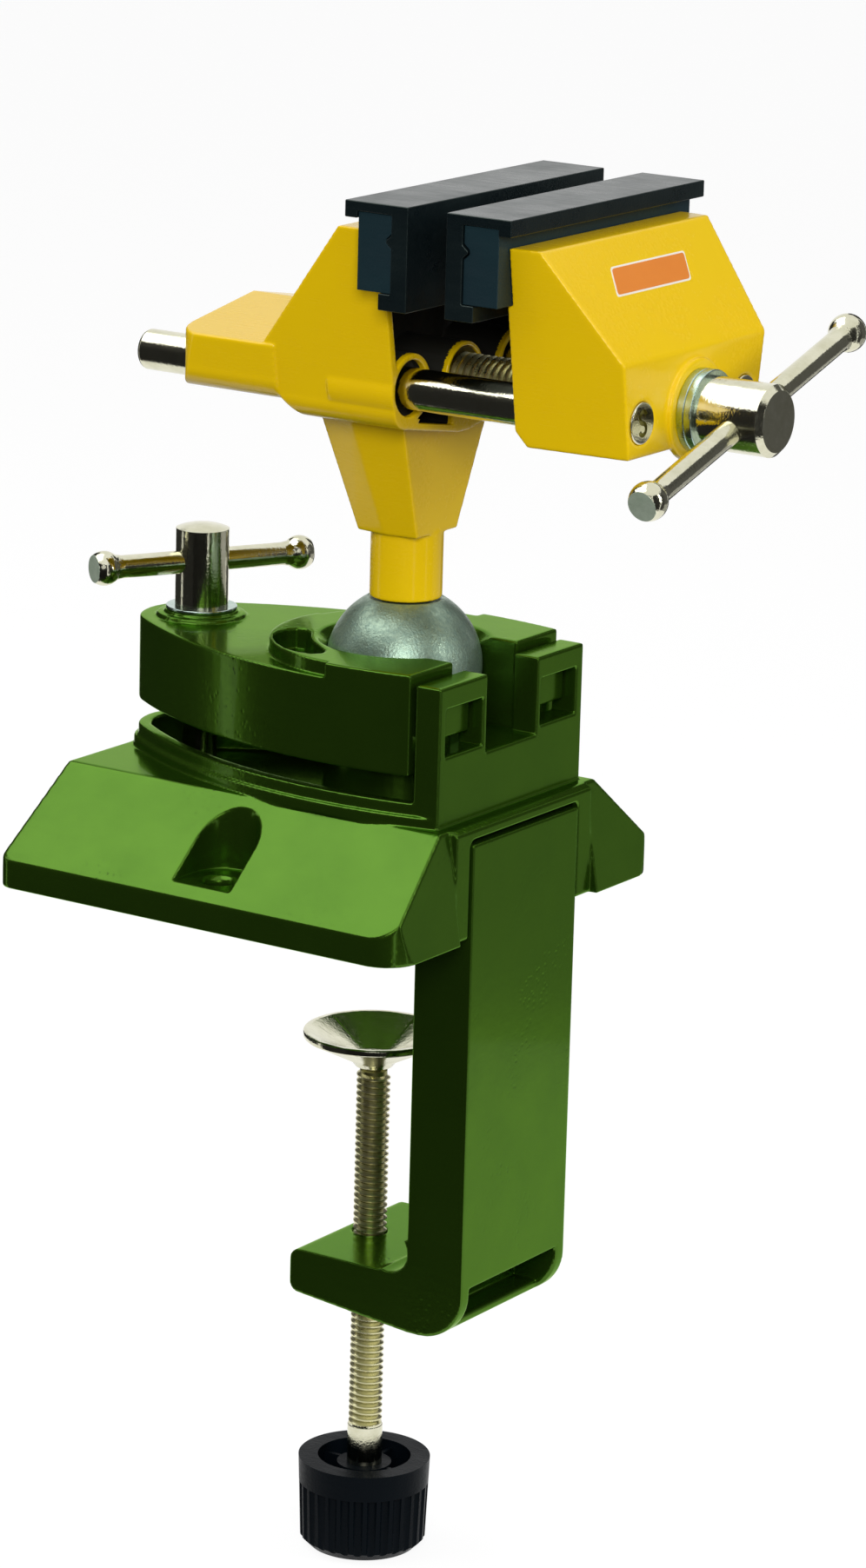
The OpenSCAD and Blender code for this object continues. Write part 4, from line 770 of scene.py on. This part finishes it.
@cache
def thread_tree() -> NodeTree:
    """Geometry Nodes for a thread: a ridge along a helix, round Z, from z 0 up.

    The ridge's foot and crest are shares of the pitch. Its height and its centre are shares of the depth, so that
    the foot sinks a little into the core.

    Returns:
        The tree.
    """
    foot, crest, height, centre = 0.98, 0.2, 1.16, 0.42
    tree = bpy.data.node_groups.new("Thread ridge", "GeometryNodeTree")
    face = tree.interface
    face.new_socket("Geometry", in_out="INPUT", socket_type="NodeSocketGeometry")
    for label, value in (("Root Radius", 0.003), ("Depth", 0.0006), ("Pitch", 0.0015), ("Length", 0.05)):
        face.new_socket(label, in_out="INPUT", socket_type="NodeSocketFloat").default_value = value
    face.new_socket("Steps", in_out="INPUT", socket_type="NodeSocketInt").default_value = 36
    face.new_socket("Finish", in_out="INPUT", socket_type="NodeSocketMaterial")
    face.new_socket("Geometry", in_out="OUTPUT", socket_type="NodeSocketGeometry")
    s = Sheet(tree)
    start, end = s.add("NodeGroupInput"), s.add("NodeGroupOutput")
    pitch, length, depth = start.outputs["Pitch"], start.outputs["Length"], start.outputs["Depth"]
    middle = s.sum("ADD", start.outputs["Root Radius"], s.sum("MULTIPLY", depth, centre))
    helix = s.add("GeometryNodeCurveSpiral")
    s.join(start.outputs["Steps"], helix.inputs["Resolution"])
    s.join(s.sum("DIVIDE", length, pitch), helix.inputs["Rotations"])
    s.join(middle, helix.inputs["Start Radius"])
    s.join(middle, helix.inputs["End Radius"])
    s.join(length, helix.inputs["Height"])
    upright = s.add("GeometryNodeSetCurveNormal", mode="Z_UP")
    s.join(helix.outputs[0], upright.inputs["Curve"])
    ridge = s.add("GeometryNodeCurvePrimitiveQuadrilateral", mode="TRAPEZOID")
    s.join(s.sum("MULTIPLY", pitch, foot), ridge.inputs["Bottom Width"])
    s.join(s.sum("MULTIPLY", pitch, crest), ridge.inputs["Top Width"])
    s.join(s.sum("MULTIPLY", depth, height), ridge.inputs["Height"])
    s.join(0.0, ridge.inputs["Offset"])
    turn = s.add("GeometryNodeTransform")
    s.join(ridge.outputs[0], turn.inputs["Geometry"])
    turn.inputs["Rotation"].default_value = (0.0, 0.0, math.pi / 2)
    sweep = s.add("GeometryNodeCurveToMesh")
    s.join(upright.outputs[0], sweep.inputs["Curve"])
    s.join(turn.outputs[0], sweep.inputs["Profile Curve"])
    sweep.inputs["Fill Caps"].default_value = True
    realize, paint = s.add("GeometryNodeRealizeInstances"), s.add("GeometryNodeSetMaterial")
    s.join(sweep.outputs[0], realize.inputs[0])
    s.join(realize.outputs[0], paint.inputs["Geometry"])
    s.join(start.outputs["Finish"], paint.inputs["Material"])
    s.join(paint.outputs[0], end.inputs[0])
    return tree


@dataclass
class Thread:
    """A screw's thread as a ridge on its core, in mm."""

    name: str
    origin: Vector
    axis: Vector
    length: float
    outer: float
    pitch: float
    depth: float
    body: str

    def build(self) -> None:
        """Runs the thread's tree and turns its ridge into its place."""
        made = new_object(self.name, [], [])
        tree = thread_tree()
        modifier = modify(made, "NODES", node_group=tree)
        values = {"Root Radius": (self.outer / 2 - self.depth) * MM, "Depth": self.depth * MM,
                  "Pitch": self.pitch * MM, "Length": self.length * MM, "Finish": SCREW_STEEL.material()}
        for item in tree.interface.items_tree:
            if item.in_out == "INPUT" and item.name in values:
                modifier[item.identifier] = values[item.name]
        settle(made)
        turn = Vector((0, 0, 1)).rotation_difference(self.axis).to_matrix().to_4x4()
        made.data.transform(Matrix.Translation(self.origin * MM) @ turn)
        outward(made)
        smooth(made, THREAD_SHARP_ANGLE)
        finish_piece(made, SCREW_STEEL, self.body)


class Base:
    """The skirted base casting with its block, cup and rim, and the ring under the ball."""

    @staticmethod
    def build() -> None:
        """Dresses the base's pieces."""
        Dressed("base_casting", GREEN_ENAMEL, Slot.GREEN, Cut.CAST).build()
        Dressed("ball_seat", BRASS, Slot.BRASS, bevel=0.2).build()
        Dressed("clamp_nut", ZINC, Slot.ZINC, bevel=0.3).build()


class Bracket:
    """The C-shaped table bracket and its bolts."""

    @staticmethod
    def build() -> None:
        """Dresses the bracket's pieces."""
        Dressed("clamp_bracket", GREEN_ENAMEL, Slot.GREEN, Cut.CAST).build()
        for side in ("near", "far"):
            Dressed("bracket_bolt_" + side, ZINC, Slot.ZINC, bevel=0.25).build()


@dataclass
class ClampPlate:
    """The plate over the ball, with the T-handled screw that pulls it down. The sizes are the CAD part's own."""

    voxel: float = 0.28
    axis_x: float = -55.0
    top_z: float = 54.8
    raised_z: float = 58.0
    boat_r: float = 110.0
    boat_half: float = 31.0
    disc_r: float = 29.6
    disc_inner_r: float = 26.0
    disc_from: float = 165.0
    disc_turn: float = 115.0
    disc_steps: int = 32
    edge_gap: float = 0.04
    ring_h: float = 0.9
    step_h: float = 1.6
    washer_h: float = 0.8
    head_z: float = 59.6
    head_slack: float = 0.3
    washer_middle_z: float = 58.9
    overlap: float = 0.6
    clear_h: float = 8.0
    bore_depth: float = 3.0
    pocket_depth: float = 4.8
    boss_r: float = 10.0
    step_r: float = 8.3
    shank_r: float = 5.2
    bar_z: float = 67.3
    bar_angle: float = 61.0
    bar_reach: float = 26.418
    pocket: Plan = (
        (-22.4, -18.2), (-24.2, -15.6), (-25.0, -12.4), (-24.9, -9.6), (-23.4, -7.6), (-21.2, -7.3), (-19.0, -8.7),
        (-16.8, -11.9), (-13.6, -15.4), (-9.6, -18.6), (-6.6, -21.0), (-5.6, -23.6), (-7.2, -25.5), (-10.4, -25.8),
        (-14.6, -24.6), (-19.0, -21.6))

    def disc(self) -> Plan:
        """The raised disc's outer ring on the near side, kept inside the plate's edge.

        Returns:
            Its plan.
        """
        outer, inner = [], []
        for step in range(self.disc_steps + 1):
            angle = math.radians(self.disc_from + self.disc_turn * step / self.disc_steps)
            x, y = math.cos(angle), math.sin(angle)
            drop = self.boat_r - self.boat_half
            edge = drop * y + math.sqrt((drop * y) ** 2 - drop ** 2 + self.boat_r ** 2)
            reach = min(self.disc_r, abs(edge) - self.edge_gap)
            outer.append((x * reach, y * reach))
            inner.append((x * self.disc_inner_r, y * self.disc_inner_r))
        return tuple(outer + inner[::-1])

    def lowered(self, point: Vector) -> Vector:
        """Lets the underside of the screw's head down onto the low stack under it.

        Args:
            point: a point of the screw, in mm.

        Returns:
            Where it goes.
        """
        aside = math.hypot(point.x - self.axis_x, point.y) > self.shank_r
        if aside and abs(point.z - self.head_z) < self.head_slack:
            return Vector((point.x, point.y, self.top_z + self.step_h + self.washer_h))
        return point

    def build(self) -> None:
        """Dresses the plate and its screw."""
        step_z, sunk, over = self.top_z + self.step_h, self.top_z - self.overlap, self.top_z + self.clear_h
        carvings = (Carve(self.disc(), sunk, self.raised_z - HAIR / 10, True),
                    Carve(circle(self.axis_x, 0, self.boss_r + self.overlap), self.top_z + self.ring_h, over),
                    Carve(circle(self.axis_x, 0, self.step_r), sunk, step_z, True),
                    Carve(circle(self.axis_x, 0, self.shank_r), self.top_z - self.bore_depth, over),
                    Carve(self.pocket, self.raised_z - self.pocket_depth, self.raised_z + 1))
        Dressed("top_plate", GREEN_ENAMEL, Slot.GREEN, Cut.CAST, self.voxel, carvings=carvings).build()
        Dressed("clamp_spindle", CHROME, Slot.CHROME, bevel=0.5, moves=self.lowered).build()
        Dressed("clamp_washer", ZINC, Slot.ZINC, bevel=0.25, moves=lambda point: Vector(
            (point.x, point.y, step_z + (self.washer_h if point.z > self.washer_middle_z else 0.0)))).build()
        turn = math.radians(self.bar_angle)
        ends = bar_end(Vector((self.axis_x, 0, self.bar_z)), Vector((math.cos(turn), math.sin(turn), 0)),
                       self.bar_reach)
        Dressed("clamp_bar", CHROME, Slot.CHROME, bevel=0.35, lining_and_shade=(BAR_END, ends)).build()


@dataclass
class BallHead:
    """The ball and its screw, and the fixed jaw with its stem. The sizes are of the jaw's hollow section."""

    voxel: float = 0.28
    half: float = 33.7
    lean: float = 0.155
    top_z: float = 153.2
    side_z: float = 109.2
    edge_r: float = 5.0
    wall: float = 1.2
    room_floor_z: float = 110.2
    room_top_z: float = 139.9
    room_x: Pair = (-2.8, 12.7)
    pocket_y: Pair = (4.0, 18.2)
    pocket_z: Pair = (106.7, 112.0)
    pocket_rise: float = 0.18

    def in_hollow(self, point: Vector) -> bool:
        """Whether a point is in the fixed jaw's hollow front or one of the two pockets in its floor.

        Args:
            point: the point, in mm.

        Returns:
            Whether it is.
        """
        across = abs(point.y)
        side = self.half - self.lean * (self.top_z - point.z)
        low = self.half - self.lean * (self.top_z - self.side_z) - self.edge_r
        if point.z < self.side_z + self.edge_r:
            side = low + math.sqrt(max(0.0, self.edge_r ** 2 - (self.side_z + self.edge_r - point.z) ** 2))
        in_room = across < side - self.wall and self.room_floor_z < point.z < self.room_top_z
        foot = self.pocket_z[0] + self.pocket_rise * (across - 2)
        in_pocket = self.pocket_y[0] < across < self.pocket_y[1] and foot < point.z < self.pocket_z[1]
        return self.room_x[0] < point.x < self.room_x[1] and (in_room or in_pocket)

    def build(self) -> None:
        """Dresses the ball and the fixed jaw."""
        Dressed("ball", BALL_STEEL, Slot.CAST_ZINC, bevel=0.3, flat=False).build()
        Dressed("ball_screw", SCREW_BLACK, Slot.DARK, bevel=0.3).build()
        # The fixed jaw's hollow and pockets get the near-black painted shade.
        Dressed("fixed_jaw", YELLOW_ENAMEL, Slot.YELLOW, Cut.CAST, self.voxel,
                lining_and_shade=(HOLLOW_SHADE, self.in_hollow)).build()
        Dressed("lead_nut", BRASS, Slot.BRASS, bevel=0.2).build()


@dataclass
class Jaws:
    """The inserts, their screws and covers, and the moving jaw with its rods. The sizes are of the near rod's end."""

    voxel: float = 0.28
    rod_front: float = 71.65
    rod_y: float = -20.5
    rod_z: float = 118.0
    slot_depth: float = 0.6
    slot_curl: float = 1.25
    slot_half: float = 0.5
    slot_from: float = 20.0
    slot_step: float = 25.0
    slot_steps: int = 11
    slot_reach: float = 3.4

    def slot_plan(self) -> Plan:
        """The S-shaped slot that keeps the near rod from turning in its peened end.

        Returns:
            Its plan in Y and Z.
        """
        angles = (math.radians(self.slot_from + self.slot_step * k) for k in range(self.slot_steps))
        path = [(self.slot_curl * math.cos(angle), self.slot_curl * (1 + math.sin(angle))) for angle in angles]
        path += [(-y, -z) for y, z in reversed(path[:-1])]
        near, far = [], []
        for k, (y, z) in enumerate(path):
            before, after = path[max(0, k - 1)], path[min(len(path) - 1, k + 1)]
            along = Vector((after[0] - before[0], after[1] - before[1])).normalized() * self.slot_half
            near.append((self.rod_y + y - along.y, self.rod_z + z + along.x))
            far.append((self.rod_y + y + along.y, self.rod_z + z - along.x))
        return tuple(near + far[::-1])

    def in_slot(self, point: Vector) -> bool:
        """Whether a point, in mm, is in the slot of the near rod's end."""
        inside = self.rod_front - self.slot_depth - HAIR < point.x < self.rod_front - 2 * HAIR
        return inside and math.hypot(point.y - self.rod_y, point.z - self.rod_z) < self.slot_reach

    def build(self) -> None:
        """Dresses the jaws' pieces."""
        for jaw in ("fixed", "moving"):
            Dressed(jaw + "_insert", INSERT_STEEL, Slot.DARK, bevel=0.35).build()
            Dressed(jaw + "_cover", COVER_RUBBER, Slot.RUBBER, bevel=0.45).build()
            for side in ("near", "far"):
                Dressed(f"{jaw}_insert_screw_{side}", SCREW_BLACK, Slot.DARK, bevel=0.2).build()
        Dressed("moving_jaw", YELLOW_ENAMEL, Slot.YELLOW, Cut.CAST, self.voxel).build()
        slot = (Carve(self.slot_plan(), self.rod_front - self.slot_depth, self.rod_front + 1, along_x=True),)
        # The slot's faces get the darker steel as painted shade.
        Dressed("guide_rod_near", CHROME, Slot.CHROME, bevel=0.4, carvings=slot,
                lining_and_shade=(SCREW_ROOT_SHADE, self.in_slot)).build()
        Dressed("guide_rod_far", CHROME, Slot.CHROME, bevel=0.4).build()


@dataclass
class LeadScrew:
    """The lead screw with its thread, washers, clip and handle."""

    axis_z: float = 118.0
    thread_from: float = -46.0
    thread_to: float = 60.0
    outer: float = 10.0
    pitch: float = 1.75
    depth: float = 0.85
    bar_middle: Triple = (84.48, 1.05, 118.32)
    bar_angle: float = 17.0
    bar_reach: float = 43.804

    def build(self) -> None:
        """Makes the thread and dresses the rest."""
        Dressed("lead_screw", CHROME, Slot.CHROME, bevel=0.5, keep_from_x=self.thread_to).build()
        core = self.outer / 2 - self.depth
        length = self.thread_to - self.thread_from
        shaft = turned("lead_screw_core", [(0, core - 0.8), (0.8, core), (length + 0.4, core)],
                       Vector((self.thread_from, 0, self.axis_z)), Vector((1, 0, 0)))
        # The core between the thread's ridges gets darker steel as painted shade.
        finish_piece(shaft, SCREW_ROOT_SHADE, body_of("lead_screw"))
        Thread("lead_screw_thread", Vector((self.thread_from + 0.9, 0, self.axis_z)), Vector((1, 0, 0)),
               length - 1.6, self.outer, self.pitch, self.depth, body_of("lead_screw")).build()
        for place in ("inner", "outer"):
            Dressed("spindle_washer_" + place, ZINC, Slot.ZINC, bevel=0.25).build()
        Dressed("spindle_clip", SCREW_BLACK, Slot.DARK, bevel=0.15).build()
        turn = math.radians(self.bar_angle)
        ends = bar_end(Vector(self.bar_middle), Vector((0, math.cos(turn), math.sin(turn))), self.bar_reach)
        Dressed("spindle_bar", CHROME, Slot.CHROME, bevel=0.35, lining_and_shade=(BAR_END, ends)).build()


@dataclass
class TableScrew:
    """The screw under the table with its swivel pad and knob."""

    axis_x: float = -5.3
    top_z: float = -41.5
    thread_top: float = -43.2
    thread_bottom: float = -126.5
    outer: float = 7.6
    pitch: float = 1.5
    depth: float = 0.72

    def build(self) -> None:
        """Makes the thread and dresses the rest."""
        Dressed("table_screw", CHROME, Slot.SCREW, bevel=0.3, keep_below_z=self.thread_bottom + 0.6).build()
        core = self.outer / 2 - self.depth
        length = self.top_z - self.thread_bottom
        shaft = turned("table_screw_core", [(0, core), (length - 0.6, core), (length, core - 0.6)],
                       Vector((self.axis_x, 0, self.thread_bottom)), Vector((0, 0, 1)))
        # The core between the thread's ridges gets darker steel as painted shade.
        finish_piece(shaft, SCREW_ROOT_SHADE, body_of("table_screw"))
        Thread("table_screw_thread", Vector((self.axis_x, 0, self.thread_bottom + 0.2)), Vector((0, 0, 1)),
               self.thread_top - self.thread_bottom, self.outer, self.pitch, self.depth,
               body_of("table_screw")).build()
        Dressed("swivel_pad", CHROME, Slot.CHROME, bevel=0.3, flat=False).build()
        Dressed("knob", KNOB_PLASTIC, Slot.PLASTIC, bevel=0.35).build()


@dataclass
class Label:
    """A bare sticker on the moving jaw's slope, in mm."""

    start: Pair = (53.2, 153.2)
    end: Pair = (71.4, 131.0)
    along: float = 0.355
    half_length: float = 14.2
    half_height: float = 3.0
    shear: float = 0.53
    lift: float = 0.12
    margin: float = 0.45
    corner: float = 0.7
    corner_steps: int = 4

    def build(self) -> None:
        """Lays the sticker's two sheets on the slope."""
        back = self.lift * 0.6
        length, height = self.half_length, self.half_height
        self.sheet("label_edge", length + self.margin, height + self.margin, 0.0, back, LABEL_EDGE)
        self.sheet("label_face", length, height, back, self.lift * 1.2, LABEL)

    def sheet(self, name: str, half_length: float, half_height: float, low: float, high: float,
              finish: Finish) -> None:
        """Makes one thin sheet with round corners.

        Args:
            name: its name.
            half_length: half of its length.
            half_height: half of its height.
            low: how far its back is from the slope.
            high: how far its face is from the slope.
            finish: its finish.
        """
        a, b = Vector((self.start[0], 0, self.start[1])), Vector((self.end[0], 0, self.end[1]))
        down = (b - a).normalized()
        out = Vector((-down.z, 0, down.x))
        if out.x < 0:
            out.negate()
        centre = a.lerp(b, self.along)
        ring: list[Pair] = []
        corner = self.corner
        for quarter, (sy, sd) in enumerate(((1, 1), (-1, 1), (-1, -1), (1, -1))):
            for step in range(self.corner_steps + 1):
                angle = math.pi / 2 * (quarter + step / self.corner_steps)
                ring.append((sy * (half_length - corner) + corner * math.cos(angle),
                             sd * (half_height - corner) + corner * math.sin(angle)))
        rings = [[centre + Vector((0, 1, 0)) * (y - self.shear * d) + down * d + out * h for y, d in ring]
                 for h in (low, high)]
        finish_piece(prism(name, rings), finish, "carriage")


@dataclass(frozen=True)
class Flag:
    """A standing card of the studio that only mirrors see, between two bearings from the object, in degrees."""

    name: str
    start: float
    end: float
    level: float
    low: float = 0.002
    high: float = 0.55
    foot: float = 0.0
    radius: float = 0.42
    steps: int = 8

    def build(self, floor_z: float) -> None:
        """Stands the card on the floor, facing the object.

        Args:
            floor_z: the floor's height, in metres.
        """
        rows = [(self.radius, floor_z + self.low), (self.radius, floor_z + self.high)]
        if self.foot:
            rows.insert(0, (self.foot, floor_z + self.low))
        points: list[Triple] = []
        for step in range(self.steps + 1):
            angle = math.radians(self.start + (self.end - self.start) * step / self.steps)
            points += [(radius * math.cos(angle), radius * math.sin(angle), z) for radius, z in rows]
        wide = len(rows)
        faces = [(wide * k + row, wide * k + row + 1, wide * (k + 1) + row + 1, wide * (k + 1) + row)
                 for k in range(self.steps) for row in range(wide - 1)]
        made = new_object(self.name, points, faces)
        material = bpy.data.materials.new(self.name)
        s = blank(material)
        out, glow = s.add("ShaderNodeOutputMaterial"), s.add("ShaderNodeEmission")
        s.preset(glow, {"Strength": self.level})
        s.join(glow.outputs[0], out.inputs["Surface"])
        made.data.materials.append(material)
        made.visible_camera = made.visible_diffuse = made.visible_shadow = made.visible_transmission = False
        made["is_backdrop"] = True


@dataclass
class Studio:
    """The floor, the lamps, the world and the camera."""

    floor_gap: float = 0.0005
    floor_reach: float = 9.0
    floor_grey: float = 0.16
    floor_glow: float = 0.88
    fill: float = 0.34
    aim: Triple = (0.0, 0.0, 0.03)
    picture_height: int = 1804
    sensor: float = 36.0
    azimuth: float = 33.545
    pitch: float = 14.718
    roll: float = 1.565
    focal: float = 6503.2
    place: Triple = (0.6715, -1.0, 0.3414)
    flags: tuple[Flag, ...] = (
        Flag("flag left", -150, -101, 0.02, foot=0.12), Flag("flag front", -101, -36, 0.01, foot=0.12),
        Flag("flag right front", -30, 6, 0.03), Flag("flag right", 10, 34, 0.05),
        Flag("flag right back", 34, 74, 0.4, high=0.165), Flag("flag right back high", 34, 74, 0.1, low=0.166),
        Flag("flag back", 78, 106, 0.06), Flag("flag left back", 106, 144, 1.0),
        Flag("flag far left", 148, 204, 0.03))

    def build(self, floor_z: float) -> None:
        """Sets the whole scene round the object.

        Args:
            floor_z: the object's lowest point, in metres.
        """
        self.floor(floor_z - self.floor_gap)
        self.world()
        for flag in self.flags:
            flag.build(floor_z)
        self.lamp("high softbox", Vector((-0.65, -0.3, 0.96)), 1.3, 1.3, 8.0)
        self.lamp("front softbox", Vector((0.75, -1.15, 0.62)), 0.5, 0.5, 12.0)
        self.lamp("side softbox", Vector((1.15, 0.3, 0.5)), 0.3, 0.7, 5.5)
        self.camera()

    def floor(self, z: float) -> None:
        """Lays the pale floor.

        Args:
            z: its height, in metres.
        """
        reach, grey = self.floor_reach, self.floor_grey
        made = new_object("floor", [(-reach, -reach, z), (reach, -reach, z), (reach, reach, z), (-reach, reach, z)],
                          [(0, 1, 2, 3)])
        material = bpy.data.materials.new("pale floor")
        s = blank(material)
        out, shader = s.add("ShaderNodeOutputMaterial"), s.add("ShaderNodeBsdfPrincipled")
        s.preset(shader, {"Base Color": (grey, grey, grey, 1), "Roughness": 0.9, "Specular IOR Level": 0.1,
                          "Emission Color": (1, 1, 1, 1)})
        s.join(s.sum("MULTIPLY", self.seen(s), self.floor_glow), shader.inputs["Emission Strength"])
        s.join(shader.outputs[0], out.inputs["Surface"])
        made.data.materials.append(material)
        made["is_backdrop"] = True

    @staticmethod
    def seen(s: Sheet) -> NodeSocket:
        """Whether a ray is the camera's, a mirror's or a glass's.

        Args:
            s: the sheet to add to.

        Returns:
            A socket of 0 or 1.
        """
        path = s.add("ShaderNodeLightPath")
        both = s.sum("MAXIMUM", path.outputs["Is Camera Ray"], path.outputs["Is Glossy Ray"])
        return s.sum("MAXIMUM", both, path.outputs["Is Transmission Ray"])

    def world(self) -> None:
        """Makes the world white to the eye and plain as a lamp."""
        world = bpy.data.worlds.new("studio")
        bpy.context.scene.world = world
        s = blank(world)
        out, back = s.add("ShaderNodeOutputWorld"), s.add("ShaderNodeBackground")
        s.preset(back, {"Color": (1, 1, 1, 1)})
        s.join(s.spread(self.seen(s), 0.0, 1.0, self.fill, 1.0), back.inputs["Strength"])
        s.join(back.outputs[0], out.inputs["Surface"])

    def lamp(self, name: str, place: Vector, wide: float, high: float, power: float) -> None:
        """Adds a softbox that points at the object.

        Args:
            name: its name.
            place: where it stands, in metres.
            wide: its width.
            high: its height.
            power: its power, in watts.
        """
        data = bpy.data.lights.new(name, "AREA")
        data.shape, data.size, data.size_y, data.energy = "RECTANGLE", wide, high, power
        made = bpy.data.objects.new(name, data)
        made.location = place
        made.rotation_euler = (Vector(self.aim) - place).to_track_quat("-Z", "Y").to_euler()
        bpy.context.scene.collection.objects.link(made)

    def camera(self) -> None:
        """Puts the camera at the photograph's viewing angle."""
        a, p, roll = (math.radians(v) for v in (self.azimuth, self.pitch, self.roll))
        right = Vector((math.cos(a), math.sin(a), 0))
        ahead = Vector((-math.sin(a) * math.cos(p), math.cos(a) * math.cos(p), -math.sin(p)))
        up = right.cross(ahead)
        right_rolled = math.cos(roll) * right + math.sin(roll) * up
        up_rolled = math.cos(roll) * up - math.sin(roll) * right
        data = bpy.data.cameras.new("camera")
        data.sensor_width = self.sensor
        data.sensor_fit = "AUTO"
        data.lens = self.focal * self.sensor / self.picture_height
        data.clip_start, data.clip_end = 0.05, 50.0
        made = bpy.data.objects.new("camera", data)
        columns = Matrix((right_rolled, up_rolled, -ahead)).transposed().to_4x4()
        made.matrix_world = Matrix.Translation(Vector(self.place)) @ columns
        bpy.context.scene.collection.objects.link(made)
        bpy.context.scene.camera = made


def main() -> None:
    """Builds every sub-assembly, then the studio round them."""
    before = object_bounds()
    for part in (Base(), Bracket(), ClampPlate(), BallHead(), Jaws(), LeadScrew(), TableScrew(), Label()):
        part.build()
        LOG.info("%s is done", type(part).__name__)
    Studio().build(float(before[0][2]))
    bpy.context.scene.view_settings.view_transform = "Standard"


if __name__ == "__main__":
    logging.basicConfig(level=logging.INFO, format="%(message)s")
    main()
